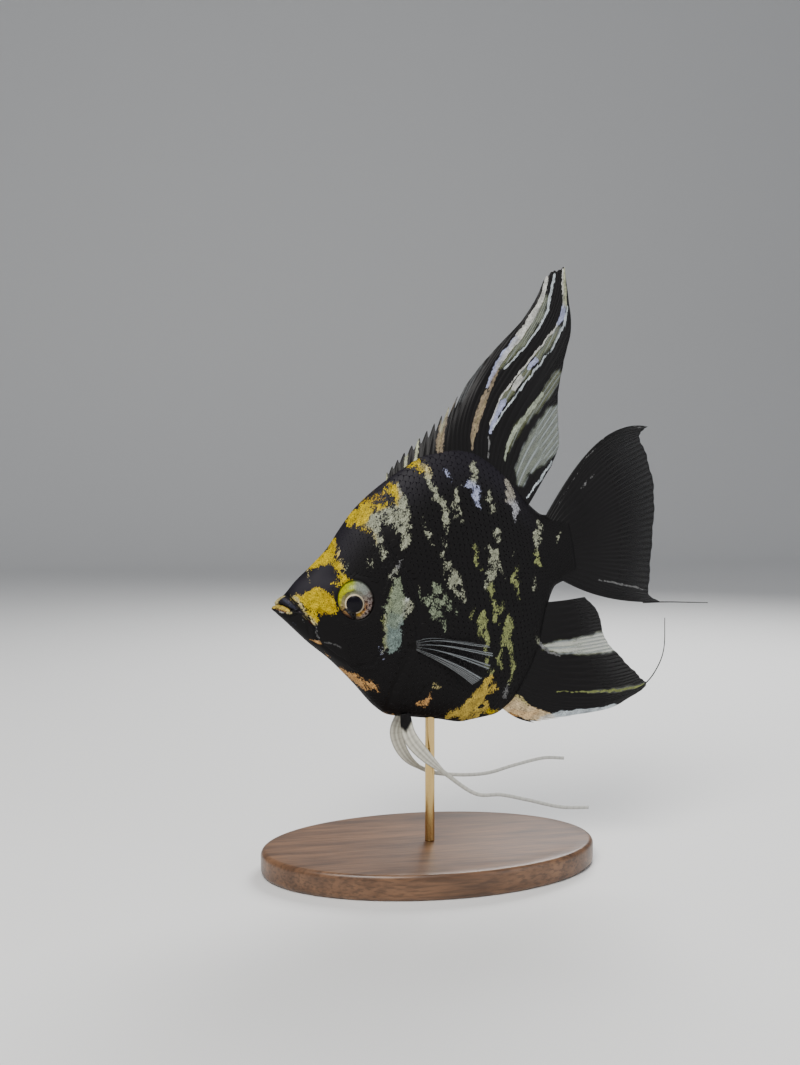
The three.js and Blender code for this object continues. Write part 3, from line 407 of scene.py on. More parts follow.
# ---------------------------------------------------------------- arithmetic
def smooth(rows, x):
    """A smooth curve through the rows of a table, read at x: cubic pieces with slopes that don't overshoot."""
    table = np.array(rows, float)
    xs, ys = table[:, 0], table[:, 1]
    rise = np.diff(ys) / np.diff(xs)
    before, after = rise[:-1], rise[1:]
    inner = np.where(before * after <= 0, 0, 2 * before * after / np.where(before + after == 0, 1, before + after))
    slope = np.concatenate([rise[:1], inner, rise[-1:]])
    x = np.clip(np.asarray(x, float), xs[0], xs[-1])
    i = np.clip(np.searchsorted(xs, x, side="right") - 1, 0, len(xs) - 2)
    span = xs[i + 1] - xs[i]
    t = (x - xs[i]) / span
    return (
        ys[i] * (2 * t**3 - 3 * t**2 + 1) + slope[i] * span * (t**3 - 2 * t**2 + t)
        + ys[i + 1] * (3 * t**2 - 2 * t**3) + slope[i + 1] * span * (t**3 - t**2)
    )


def ease(low, high, value):
    """0 below low, 1 above high and a smooth step between."""
    t = np.clip((value - low) / (high - low), 0, 1)
    return t * t * (3 - 2 * t)


def bump(distance, width):
    """A bell of height 1 at distance 0 that falls away over width."""
    return np.exp(-((distance / width) ** 2))


def to_row(x, y, z):
    """Body frame in millimetres to the row's frame in metres."""
    c, s = math.cos(PITCH), math.sin(PITCH)
    return np.stack([SNOUT[0] + x * c - z * s, SNOUT[1] + y, SNOUT[2] + x * s + z * c], -1) * MM


def course(stations, x, z):
    """Distance to a polyline of (x, z, ...) stations, the third value read along it and the side, +1 to its left.

    The nearest point of each segment is its start plus a share of its length, kept within 0 and 1.
    """
    best = np.full(np.shape(x), np.inf)
    width = np.zeros(np.shape(x))
    side = np.ones(np.shape(x))
    for a, b in zip(stations[:-1], stations[1:]):
        dx, dz = b[0] - a[0], b[1] - a[1]
        t = np.clip(((x - a[0]) * dx + (z - a[1]) * dz) / (dx * dx + dz * dz), 0, 1)
        d = np.hypot(x - a[0] - t * dx, z - a[1] - t * dz)
        near = d < best
        best = np.where(near, d, best)
        if len(a) > 2:
            width = np.where(near, a[2] + t * (b[2] - a[2]), width)
        side = np.where(near, np.sign(dx * (z - a[1]) - dz * (x - a[0])), side)
    return best, width, side


def wander(x, z, wavelength, seed):
    """A smooth field over (x, z), mostly within -1 and 1: eight waves of about one length in seeded directions."""
    draw = np.random.default_rng(seed)
    total = np.zeros(np.shape(x))
    for turn, share, phase in draw.uniform((0, 0.7, 0), (2 * math.pi, 1.4, 2 * math.pi), (8, 3)):
        rate = 2 * math.pi / (wavelength * share)
        total += np.sin(rate * (x * math.cos(turn) + z * math.sin(turn)) + phase)
    return total / 4


def painted(marks, x, z, soft, ragged=1.0):
    """Cover from 0 to 1 and colour at each point: a mark is full inside its half width and fades over soft.

    The points are first shifted by a wandering field, times ragged, so that no outline is a plain curve. Where
    marks overlap, the colour is their mean, each weighed by the cube of its cover.
    """
    cover = np.zeros(np.shape(x))
    total = np.full(np.shape(x), 1e-9)
    colour = np.zeros(np.shape(x) + (3,))
    wx = x + ragged * (0.34 * wander(x, z, 4.2, 1) + 0.2 * wander(x, z, 1.3, 2))
    wz = z + ragged * (0.4 * wander(x, z, 4.6, 3) + 0.24 * wander(x, z, 1.5, 4))
    shading = 1 + 0.24 * wander(x, z, 2.4, 5) + 0.16 * wander(x, z, 0.9, 6)
    for tone, solid, stations in marks:
        distance, width, _ = course(stations, wx, wz)
        fade = np.minimum(soft, 0.3 + 0.75 * width)
        here = solid * ease(-1, 0.9, (width - distance) / fade)
        cover = np.maximum(cover, here)
        weight = here**3
        total += weight
        colour += weight[..., None] * np.array(tone)
    return np.minimum(cover, 1), colour / total[..., None] * shading[..., None]


# ---------------------------------------------------------------- meshes
def new_object(name, data):
    """An object in the scene that carries a mesh, a light or a camera."""
    thing = bpy.data.objects.new(name, data)
    bpy.context.collection.objects.link(thing)
    return thing


def mesh_object(name, points, faces, smooth_shade=True):
    """A mesh piece from row-frame points and an (n, 4) or (n, 3) array of faces, all smooth or smooth where told."""
    faces = np.asarray(faces, np.int32)
    mesh = bpy.data.meshes.new(name)
    points = np.asarray(points, np.float32).reshape(-1, 3)
    mesh.vertices.add(len(points))
    mesh.vertices.foreach_set("co", points.ravel())
    mesh.loops.add(faces.size)
    mesh.loops.foreach_set("vertex_index", faces.ravel())
    mesh.polygons.add(len(faces))
    mesh.polygons.foreach_set("loop_start", np.arange(0, faces.size, faces.shape[1], dtype=np.int32))
    mesh.update(calc_edges=True)
    mesh.validate()
    mesh.polygons.foreach_set("use_smooth", np.broadcast_to(smooth_shade, len(faces)).copy())
    return new_object(name, mesh)


def set_colours(piece, name, rgba):
    """Stores one colour per vertex."""
    layer = piece.data.color_attributes.new(name, "FLOAT_COLOR", "POINT")
    layer.data.foreach_set("color", np.asarray(rgba, np.float32).reshape(-1, 4).ravel())


def grid_faces(rows, columns, closed=False):
    """Quads over a grid of rows by columns of vertices, joined up round each row if closed."""
    i, j = np.meshgrid(np.arange(rows - 1), np.arange(columns if closed else columns - 1), indexing="ij")
    k = (j + 1) % columns
    quads = np.stack([i * columns + j, i * columns + k, (i + 1) * columns + k, (i + 1) * columns + j], -1)
    return quads.reshape(-1, 4)


def triangles(quads):
    """Each quad cut along its diagonal into two triangles."""
    return np.concatenate([quads[:, [0, 1, 2]], quads[:, [0, 2, 3]]])


def tube_faces(rings, steps):
    """Triangles over a tube of rings by steps of vertices, shut by the two points that follow the last ring."""
    j = np.arange(steps)
    k = (j + 1) % steps
    last, count = (rings - 1) * steps, rings * steps
    first_cap = np.stack([k, j, np.full_like(j, count)], -1)
    last_cap = np.stack([last + j, last + k, np.full_like(j, count + 1)], -1)
    return np.concatenate([triangles(grid_faces(rings, steps, closed=True)), first_cap, last_cap])


def finish_piece(piece, material, slot, *nodes):
    """Gives a piece its material, hangs it under the root's empty and hides the model's parts that it takes the place
    of.
    """
    piece.data.materials.append(material)
    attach(piece, "root")
    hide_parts(*nodes)


# ---------------------------------------------------------------- body surface
def section(x, angle):
    """The plain body at (x, angle): an upright almond, angle 0 on the right flank, a quarter turn at the back.

    y is the half width times the cosine to a power that sharpens the ridge, and z is the fullest line plus the
    sine times the height above or below it.
    """
    top, bottom, middle = smooth(BACK, x), smooth(BELLY, x), smooth(FULLEST, x)
    middle = np.clip(middle, bottom + 0.2, top - 0.2)
    c, s = np.cos(angle), np.sin(angle)
    sharp = np.where(s > 0, RIDGE_SHARPNESS, BELLY_SHARPNESS)
    y = smooth(HALF_WIDTH, x) * np.sign(c) * np.abs(c) ** sharp
    return y, middle + s * np.where(s > 0, top - middle, middle - bottom)


def flank_half(x, z):
    """Half thickness of the plain body at height z of the section at x."""
    top, bottom, middle = smooth(BACK, x), smooth(BELLY, x), smooth(FULLEST, x)
    above = z > middle
    share = np.clip(np.where(above, (z - middle) / (top - middle), (middle - z) / (middle - bottom)), 0, 1)
    return smooth(HALF_WIDTH, x) * (1 - share * share) ** (np.where(above, RIDGE_SHARPNESS, BELLY_SHARPNESS) / 2)


def relief(x, y, z):
    """How far the skin stands proud of the plain body, in millimetres, from the folds and edges of the head."""
    def along(line, width):
        """A bell across a line of the head."""
        return bump(course(line, x, z)[0], width)

    side = ease(0.2, 0.8, np.abs(y) / smooth(HALF_WIDTH, x))
    out = np.zeros(np.shape(x))
    # eye socket: a raised rim round a pit that the eyeball sits in
    r = np.hypot((x - EYE["x"]) / EYE_OVAL[0], (z - EYE["z"] + 0.22) / EYE_OVAL[1])
    out += 0.13 * bump(r - 5.2, 0.8) - 2.2 * (1 - ease(3.85, 4.4, r))
    # gill cover: the plate swells towards its free edge and drops off it
    d, _, way = course(GILL_EDGE, x, z)
    cover = ease(0.35, -0.35, d * way)
    strength = ease(14, 9, z) * ease(-36, -30, z) * side
    out += strength * (cover * 0.32 * bump(d, 3.2) - (1 - cover) * 0.16 * bump(d, 1.3))
    # the cheek's rear edge, a shallow furrow with a low crest in front of it
    d, _, way = course(CHEEK_EDGE, x, z)
    out += side * (0.16 * bump(d - 0.7, 0.6) * (way > 0) - 0.2 * bump(d, 0.28))
    # mouth and lips
    out -= 0.55 * along(MOUTH, 0.16)
    out += 0.34 * along(UPPER_LIP, 0.72) * ease(5.6, 3.8, x)
    out += 0.24 * along(LOWER_LIP, 0.6)
    out += 0.22 * along(MAXILLA, 0.5)
    out -= 0.34 * along(LIP_FOLD, 0.26) * ease(0.1, 0.5, np.abs(y))
    out -= 0.16 * along(JAW_FOLD, 0.22)
    # nostril: a pit in a low ring
    r = np.hypot(x - NOSTRIL[0], z - NOSTRIL[1])
    out += 0.1 * bump(r - 0.55, 0.2) - 0.34 * bump(r, 0.26)
    # low hollow over the eye, and the brow's bone
    out -= 0.22 * bump(np.hypot(x - 13.2, (z - 4.6) * 1.2), 3.2) * side
    # base of the pectoral fin
    out += 0.42 * along(PECTORAL_BASE, 1.1) * side
    # bundles of muscle, faint chevrons along the flank
    wave = np.sin((x + 0.35 * np.abs(z + 4)) * 2 * math.pi / 3.1)
    out += 0.02 * wave * ease(34, 40, x) * ease(75, 68, x) * side
    return out


def surface(x, angle, lift=0.0):
    """Body-frame points of the skin at (x, angle) and of the plain body under them.

    The normal is the cross product of a short step along the body and a short turn round it, made to point away
    from the fullest line. The skin is the plain body moved along it by the relief, less the coat, plus lift.
    """
    def place(px, pa):
        """The plain body's point."""
        y, z = section(px, pa)
        return np.stack([px, y, z], -1)

    step, turn = 0.02, 0.004
    here = place(x, angle)
    along = place(np.minimum(x + step, TAIL_END), angle) - place(np.maximum(x - step, NOSE_END), angle)
    around = place(x, angle + turn) - place(x, angle - turn)
    normal = np.cross(along, around)
    height = here[..., 2:3] - smooth(FULLEST, x)[..., None]
    normal *= np.sign(normal[..., 1:2] * here[..., 1:2] + normal[..., 2:3] * height)
    normal /= np.maximum(np.linalg.norm(normal, axis=-1, keepdims=True), 1e-9)
    raised = here + normal * (relief(x, here[..., 1], here[..., 2]) - COAT + lift)[..., None]
    return raised, here


def layered(x, z, ragged):
    """Cover and colour of the broad marks with the fine lines of the face over them."""
    cover, tone = painted(MARKS, x, z, 0.85, ragged)
    fine, fine_tone = painted(FACE_LINES, x, z, 0.26, 0.2 * ragged)
    return np.maximum(cover, fine), tone * (1 - fine[..., None]) + fine_tone * fine[..., None]


def coat_tone(x, y, z):
    """Colour of the body's marks in rgb, and how full they are in alpha. The right side's marks are another draw."""
    left = layered(x, z, 1.0)
    other = ease(5, 16, x)
    right = layered(
        x + 0.8 * other * np.sin(0.31 * z + 1.2), z + 1.6 * other * np.sin(0.17 * x + 0.6), 1 + 0.7 * other
    )
    share = ease(-0.25, 0.25, y)
    cover = left[0] * (1 - share) + right[0] * share
    colour = left[1] * (1 - share[..., None]) + right[1] * share[..., None]
    return np.concatenate([colour, cover[..., None]], -1)


def ground_and_sheen(x, z):
    """Ground colour of the body: black, with a painted plum sheen over the snout, upper lip, nape and back."""
    top = smooth(BACK, x)
    # painted sheen, strongest along the top of the back where the light falls, and on the snout and upper lip
    plum_sheen = 0.75 * ease(13, 2, top - z) * ease(4, 14, x) * ease(70, 60, x)
    snout = bump(np.hypot(x - 6, z - 3.2), 3.0) + 0.8 * bump(np.hypot(x - 12, z - 3.2), 3.2)
    lip_sheen = bump(course(UPPER_LIP, x, z)[0], 0.7)
    sheen_amount = np.clip(plum_sheen + snout + lip_sheen, 0, 1)[..., None]
    return np.array(BLACK) * (1 - sheen_amount) + np.array(PLUM_SHEEN) * sheen_amount


def store_tones(piece, x, y, z, fuller=0.0):
    """Stores the marks and the ground, which is black with its painted sheen. Fuller makes a scale's mark a little
    denser or thinner than its course.
    """
    tones = coat_tone(x, y, z)
    cover = tones[:, 3]
    tones[:, 3] = np.clip(cover + fuller * 4 * cover * (1 - cover), 0, 1)
    set_colours(piece, "marks", tones)
    ground = ground_and_sheen(x, z)
    set_colours(piece, "ground", np.concatenate([ground, np.ones(ground.shape[:-1] + (1,))], -1))


SKIN_RINGS = 262
SKIN_STEPS = 360
NOSE_TIP = 0.3  # how far the point that shuts the snout stands in front of the first ring


def make_skin():
    """The whole skin as one closed surface: its rings are packed towards the head, its steps towards the flanks."""
    t = np.linspace(0, 1, SKIN_RINGS)
    stations = NOSE_END + (TAIL_END - NOSE_END) * (0.55 * t**2.2 + 0.45 * t)
    turns = np.linspace(0, 2 * math.pi, SKIN_STEPS, endpoint=False)
    angles = turns - 0.24 * np.sin(2 * turns)
    x, a = np.meshgrid(stations, angles, indexing="ij")
    raised, plain = surface(x, a)
    caps = np.stack([raised[0].mean(0) - [NOSE_TIP, 0, 0], raised[-1].mean(0)])
    points = np.concatenate([raised.reshape(-1, 3), caps])
    piece = mesh_object("skin", to_row(*points.T), tube_faces(SKIN_RINGS, SKIN_STEPS))
    flat = np.concatenate([plain.reshape(-1, 3), caps])
    store_tones(piece, *flat.T)
    return piece


# ---------------------------------------------------------------- scales
SCALE_PITCH = 1.5
SCALE_ROWS = 7  # vertices along a scale
SCALE_COLUMNS = 7  # vertices across it
SCALE_LENGTH = 0.94  # half a scale's length, its half width and how far it lies behind its root, over the pitch
SCALE_WIDTH = 0.86
SCALE_SHIFT = 0.12
SCALE_ROOT = -0.12  # depth of the point that shuts a scale's underside
SIZE_SPREAD, TILT_SPREAD, LIFT_SPREAD, MARK_SPREAD = 0.05, 0.06, 0.15, 0.3


def scale_sizes(x):
    """Pitch of the scales over and under the fullest line: they shrink towards the head and the tail stem."""
    top, bottom, middle = smooth(BACK, x), smooth(BELLY, x), smooth(FULLEST, x)
    head = 0.74 + 0.26 * ease(20, 33, x)
    return [head * SCALE_PITCH * (edge / full) ** 0.5 for edge, full in ((top - middle, 36), (middle - bottom, 31))]


def scale_roots():
    """Roots of one side's scales as x, angle from the flank and pitch, in staggered columns."""
    roots = []
    x, column = 8.5, 0
    while x < TAIL_END - 1.2:
        top, bottom, middle = smooth(BACK, x), smooth(BELLY, x), smooth(FULLEST, x)
        up, down = scale_sizes(x)
        offset = 0.5 * (column % 2)
        high = np.arange(offset, (top - middle) / up, 1.0) * up / (top - middle)
        low = -np.arange(1 - offset, (middle - bottom) / down, 1.0) * down / (middle - bottom)
        for share, pitch in ((high, up), (low, down)):
            share = np.append(share[np.abs(share) < 0.985], 0.9999 * np.sign(share[-1])) if len(share) else share
            roots += [(x, math.asin(s), pitch) for s in share]
        x += 0.42 * (up + down)
        column += 1
    return np.array(roots)


def bare(x, z):
    """True where the skin has no scales: snout, lips, round the eye, the edges of the gill cover, the throat."""
    r = np.hypot(x - EYE["x"], z - EYE["z"])
    gill, fin = (course(line, x, z)[0] for line in (GILL_EDGE, PECTORAL_BASE))
    snout = 12.5 + 0.45 * np.maximum(z, 0) - 0.1 * z
    return (r < EYE_RADIUS + 1.6) | (gill < 1.2) | (fin < 1.3) | (x < snout)


def make_scales(name, side):
    """All scales of one side, each a closed flake whose front lies in the skin and whose round rear edge stands up.

    A flake is a grid over u, from its root to its rear edge, and v across it. Its half width goes with the root
    of 1 less u squared, its middle reaches further back than its sides, and it rises with an ease of u.
    """
    def each(values):
        """One value per scale, shaped to go with the grids of the flakes."""
        return values[:, None, None]

    x0, a0, pitch = scale_roots().T
    keep = ~bare(x0, section(x0, a0)[1])
    x0, a0, pitch = x0[keep], a0[keep], pitch[keep]
    count = len(x0)
    jitter = rng.normal(0, 1, (count, 4))
    angle = a0 if side > 0 else math.pi - a0
    u, v = np.meshgrid(np.linspace(-1, 1, SCALE_ROWS), np.linspace(-1, 1, SCALE_COLUMNS), indexing="ij")
    wide = np.sqrt(1 - np.where(u > 0, 0.93, 0.7) * u**2)
    outline = SCALE_LENGTH * u[None] * (1 - np.where(u > 0, 0.26, 0.1) * v**2)[None] + SCALE_SHIFT
    along = outline * each(pitch) * each(1 + SIZE_SPREAD * jitter[:, 0])
    across = (SCALE_WIDTH * v * wide)[None] * each(pitch) * each(1 + SIZE_SPREAD * jitter[:, 1])
    tilt = TILT_SPREAD * each(jitter[:, 2])
    along, across = along - tilt * across, across + tilt * along
    grow = 0.004
    y1, z1 = section(x0, angle + grow)
    y2, z2 = section(x0, angle - grow)
    per_turn = np.hypot(y1 - y2, z1 - z2) / (2 * grow)
    x = np.clip(each(x0) + along, NOSE_END + 0.1, TAIL_END - 0.05)
    a = each(angle) + each(np.sign(np.cos(angle))) * across / each(np.maximum(per_turn, 0.6))
    rise = 0.95 * ease(-1, 0.1, u) + 0.35 * ease(0.1, 1, u)
    lift = COAT * (-0.15 + 0.54 * rise * (1 - 0.3 * v**2))
    lift = lift[None] * each((0.5 + 0.5 * ease(14, 34, x0)) * (1 + LIFT_SPREAD * jitter[:, 3]))
    raised, plain = surface(x, a, lift)
    per = SCALE_ROWS * SCALE_COLUMNS
    root, _ = surface(x0, angle, np.full(count, SCALE_ROOT))
    border = np.concatenate([
        np.arange(0, SCALE_COLUMNS), np.arange(2 * SCALE_COLUMNS - 1, per, SCALE_COLUMNS),
        np.arange(per - 2, per - SCALE_COLUMNS - 1, -1), np.arange(per - 2 * SCALE_COLUMNS, 0, -SCALE_COLUMNS),
    ])
    points = np.concatenate([raised.reshape(count, per, 3), root[:, None]], 1)
    flat = np.concatenate([plain.reshape(count, per, 3), plain.reshape(count, per, 3).mean(1, keepdims=True)], 1)
    top = triangles(grid_faces(SCALE_ROWS, SCALE_COLUMNS))
    rim = np.stack([np.roll(border, -1), border, np.full_like(border, per)], -1)
    one = np.concatenate([top, rim])
    if side < 0:
        one = one[:, ::-1]
    faces = (one[None] + (np.arange(count) * (per + 1))[:, None, None]).reshape(-1, 3)
    smooth_top = np.tile(np.arange(len(one)) < len(top), count)
    piece = mesh_object(name, to_row(*points.reshape(-1, 3).T), faces, smooth_top)
    store_tones(piece, *flat.reshape(-1, 3).T, fuller=np.repeat(MARK_SPREAD * rng.normal(0, 1, count), per + 1))
    # each scale is a small patch at its root's place on an unwrap of the skin: x along, the turn round the body up
    patch, margin = 0.003, 0.005
    at = np.stack([(x0 - NOSE_END) / (TAIL_END - NOSE_END), (angle % (2 * math.pi)) / (2 * math.pi)], -1)
    local = np.stack([np.append(u.ravel(), 0), np.append(v.ravel(), 0)], -1) * patch / 2
    uv = (at[:, None] * (1 - 2 * margin) + margin + local[None]).reshape(-1, 2)
    layer = piece.data.uv_layers.new(name="OFBake")
    loops = np.empty(len(piece.data.loops), np.int32)
    piece.data.loops.foreach_get("vertex_index", loops)
    layer.data.foreach_set("uv", uv[loops].astype(np.float32).ravel())
    return piece


# ---------------------------------------------------------------- fins
def ray_family(rays, u, v):
    """Points [x, z] of a fin: at u along its key rays and v out along a cubic ray from root to tip."""
    keys = np.array([[*root, *tip, out, end] for root, tip, out, end in rays], float)
    at = np.linspace(0, 1, len(rays))
    rx, rz, tx, tz, out, end = (smooth(np.stack([at, keys[:, k]], -1), u) for k in range(6))
    out, end = np.radians(out), np.radians(end)
    reach = np.hypot(tx - rx, tz - rz) * 0.36  # how far the cubic's two inner points lie from its ends
    w = [(1 - v) ** 3, 3 * v * (1 - v) ** 2, 3 * v * v * (1 - v), v**3]
    x = w[0] * rx + w[1] * (rx + reach * np.cos(out)) + w[2] * (tx - reach * np.cos(end)) + w[3] * tx
    z = w[0] * rz + w[1] * (rz + reach * np.sin(out)) + w[2] * (tz - reach * np.sin(end)) + w[3] * tz
    return x, z


def ray_profile(phase, v, split):
    """1 on a ray and 0 on the web between two: each ray divides in two past split of its length."""
    single = np.abs(np.cos(math.pi * phase)) ** 10
    double = np.abs(np.cos(2 * math.pi * phase + math.pi / 2)) ** 6
    share = ease(split - 0.12, split + 0.12, v)
    return single * (1 - share) + double * share


def ray_lines(phase, reach):
    """The count of the ray and the reach along it, kept as a colour for the fin's material to read."""
    return np.stack([phase, reach, 0 * reach, 1 + 0 * reach], -1)


def store_web(piece, ground, marks, rays):
    """Stores a fin's own colour and opacity, the colour and fullness of its marks, and its ray count and reach."""
    for layer, values in (("ground", ground), ("marks", marks), ("rays", rays)):
        set_colours(piece, layer, values)


def web_piece(name, x, y, z, half, ground, marks, rays):
    """A closed thin web over a grid: half its thickness to either side, the rim rounded by a last row of faces."""
    rows, columns = x.shape
    left = np.stack([x, y - half, z], -1).reshape(-1, 3)
    right = np.stack([x, y + half, z], -1).reshape(-1, 3)
    count = rows * columns
    quads = grid_faces(rows, columns)
    i, j = np.arange(rows), np.arange(columns)
    edges = [(j, 1), ((rows - 1) * columns + j, -1), (i * columns, -1), (i * columns + columns - 1, 1)]
    rims = []
    for line, way in edges:
        a, b = line[:-1], line[1:]
        rim = np.stack([a, b, b + count, a + count], -1)
        rims.append(rim if way < 0 else rim[:, ::-1])
    faces = np.concatenate([quads, quads[:, ::-1] + count, *rims])
    points = np.concatenate([left, right])
    turned = np.cross(points[quads[0, 1]] - points[quads[0, 0]], points[quads[0, 2]] - points[quads[0, 0]])
    if turned[1] > 0:
        faces = faces[:, ::-1]
    piece = mesh_object(name, to_row(*points.T), faces)
    store_web(piece, *(np.concatenate([layer.reshape(-1, 4)] * 2) for layer in (ground, marks, rays)))
    return piece


def stack4(colour, last):
    """Colour of the grid with a fourth value, each repeated over the grid if it is a single one."""
    last = np.asarray(last, float)
    return np.concatenate([np.broadcast_to(colour, last.shape + (3,)), last[..., None]], -1)


def fin_colours(x, z, ray, v, marks, clear, edge_opacity):
    """Own colour and opacity of a black fin with clear fields, and the colour and fullness of its marks."""
    cover, tone = painted(marks, x, z, 0.3, 0.35)
    opened, glaze = painted(clear, x, z, 0.5, 0.6)
    black = np.array(BLACK) + (0.006 * ray * ease(0.2, 0.8, v))[..., None]
    window = glaze * 0.7 * (1 - ray[..., None]) + np.array(ICE) * 0.72 * ray[..., None]
    ground = black * (1 - opened[..., None]) + window * opened[..., None]
    opacity = (1 - opened * (0.66 - 0.56 * ray)) * (1 - (1 - edge_opacity) * ease(0.5, 1.0, v) * (1 - ray))
    return stack4(ground, opacity), stack4(tone, cover)


def spined(v, phase, spines, depth):
    """v with the web cut back between free spines: phase counts spines, and the notches end with the last one."""
    notch = depth * np.sin(math.pi * np.clip(phase, 0, spines)) ** 2 * ease(spines + 0.1, spines - 0.4, phase)
    return v * (1 - notch)


def dorsal_bend(u, v):
    """How far the fin lies off the middle plane: a lean that grows with the square of v, and a ripple along u."""
    return 2.6 * v * v * np.sin(2.2 * u + 0.4) + 0.5 * v * np.sin(9 * u)


def anal_bend(u, v):
    """The same for the anal fin, leaning the other way."""
    return -2.2 * v * v * np.cos(1.6 * u) + 0.4 * v * np.sin(8 * u)


def tail_bend(u, v):
    """The same for the tail fin, with one lean over its whole height."""
    return 1.8 * v * v + 0.5 * v * np.sin(11 * u)


# Key rays, vertices along and out, lean, half thickness at root and edge, how many rays, how many of them are free
# spines, how deep the web is cut between those, where a ray divides, marks, clear fields, opacity at the edge.
FINS = {
    "dorsal_fin": dict(
        rays=DORSAL_RAYS, grid=(330, 118), bend=dorsal_bend, root=0.62, edge=0.13, count=34, spines=11,
        notch=0.3, split=0.6, marks=DORSAL_MARKS, clear=DORSAL_CLEAR, edge_opacity=0.9,
    ),
    "anal_fin": dict(
        rays=ANAL_RAYS, grid=(260, 90), bend=anal_bend, root=0.62, edge=0.13, count=28, spines=5,
        notch=0.16, split=0.6, marks=ANAL_MARKS, clear=ANAL_CLEAR, edge_opacity=0.85,
    ),
    "tail_fin": dict(
        rays=TAIL_RAYS, grid=(330, 90), bend=tail_bend, root=0.75, edge=0.12, count=20, spines=0,
        notch=0.0, split=0.35, marks=TAIL_MARKS, clear=[], edge_opacity=0.72,
    ),
}


RAY_JOINTS = 190  # radians of the joints' wave along a ray


def make_middle_fin(name, fin):
    """A middle fin with its rays standing proud of the web on both sides.

    Its points lie between the key rays, u along the body and v out to the edge, cut back between the free spines
    and frayed a little at the edge. Its half thickness thins from root to edge, plus a ridge on each jointed ray.
    """
    columns, rows = fin["grid"]
    u, v = np.meshgrid(np.linspace(0, 1, columns), np.linspace(0, 1, rows), indexing="ij")
    phase = u * fin["count"]
    out = spined(v, phase, fin["spines"], fin["notch"])
    fray = (0.004 * np.sin(phase * 2.3) + 0.005 * np.sin(math.pi * phase) ** 2) * ease(0.85, 1, v)
    out = out * (1 - fray * (phase > fin["spines"]))
    x, z = ray_family(fin["rays"], u, out)
    ray = ray_profile(phase, v, fin["split"])
    ray = np.where(phase < fin["spines"] + 0.5, np.abs(np.cos(math.pi * phase)) ** 14, ray)
    joints = 0.5 + 0.5 * np.sin(v * RAY_JOINTS)
    blade = fin["edge"] + (fin["root"] - fin["edge"]) * (1 - v) ** 2.2
    half = blade + (0.11 - 0.06 * v) * ray * (0.86 + 0.14 * joints)
    half *= 1 - 0.6 * ease(0.985, 1, v)
    y = fin["bend"](u, out)
    ground, marks = fin_colours(x, z, ray, v, fin["marks"], fin["clear"], fin["edge_opacity"])
    return web_piece(name, x, y, z, half, ground, marks, ray_lines(phase, v))


PECTORAL_RAY_COUNT = 11


def make_pectoral(name, side):
    """A pectoral fin: a few grey rays, each in two strands, on a clear web, the lower rays folded together.

    It flares off its root, and where the flank is wider than that it lies just clear of the flank.
    """
    u, v = np.meshgrid(np.linspace(0, 1, 230), np.linspace(0, 1, 64), indexing="ij")
    along, up = ray_family(PECTORAL_RAYS, u, v)
    ray = np.zeros(u.shape)
    apart = 0.022 * ease(0.2, 0.75, v)
    for middle, wide in PECTORAL_STRANDS:
        strand = np.maximum(bump(u - middle - apart, wide), bump(u - middle + apart, wide))
        ray = np.maximum(ray, strand)
    packed = ease(0.77, 0.83, u)
    root_x, root_y, root_z = PECTORAL["root"]
    x = root_x + along * math.cos(PECTORAL["flare"])
    z = root_z + up
    clear_of_flank = flank_half(x, z) + 0.3 + 0.03 * along
    y = root_y + along * math.sin(PECTORAL["flare"])
    y = np.where(along < 0.9, y + (clear_of_flank - y) * ease(-0.2, 0.9, along), np.maximum(y, clear_of_flank))
    y += 0.35 * np.sin(2.2 * math.pi * u) * ease(0.1, 0.8, v) ** 2
    half = 0.07 + 0.3 * (1 - v) ** 3 + (0.13 - 0.06 * v) * ray + 0.12 * packed * (1 - v)
    tone = np.array(GREY) * 0.5 + (np.array(ICE) * 0.4 - np.array(GREY) * 0.5) * (ray * (1 - 0.6 * packed))[..., None]
    opacity = np.clip(-0.03 + 0.92 * ray + 0.5 * packed * (1 - ray) + 0.5 * ease(0.1, 0.02, v) * (1 - ray), 0, 0.96)
    ground, marks = stack4(tone, opacity), stack4(tone, 0 * v)
    return web_piece(name, x, side * y, z, half, ground, marks, ray_lines(u * PECTORAL_RAY_COUNT, v))


def spline(points, t):
    """A smooth curve through points, read at shares t of its length: a cubic between each two of them."""
    points = np.array(points, float)
    padded = np.concatenate([2 * points[:1] - points[1:2], points, 2 * points[-1:] - points[-2:-1]])
    fine = np.linspace(0, len(points) - 1, 400)
    i = np.minimum(fine.astype(int), len(points) - 2)
    f = (fine - i)[:, None]
    a, b, c, d = (padded[i + k] for k in range(4))
    curve = 0.5 * (2 * b + (c - a) * f + (2 * a - 5 * b + 4 * c - d) * f**2 + (3 * b - a - 3 * c + d) * f**3)
    run = np.concatenate([[0], np.cumsum(np.linalg.norm(np.diff(curve, axis=0), axis=1))])
    return np.stack([np.interp(t * run[-1], run, curve[:, k]) for k in range(3)], -1)


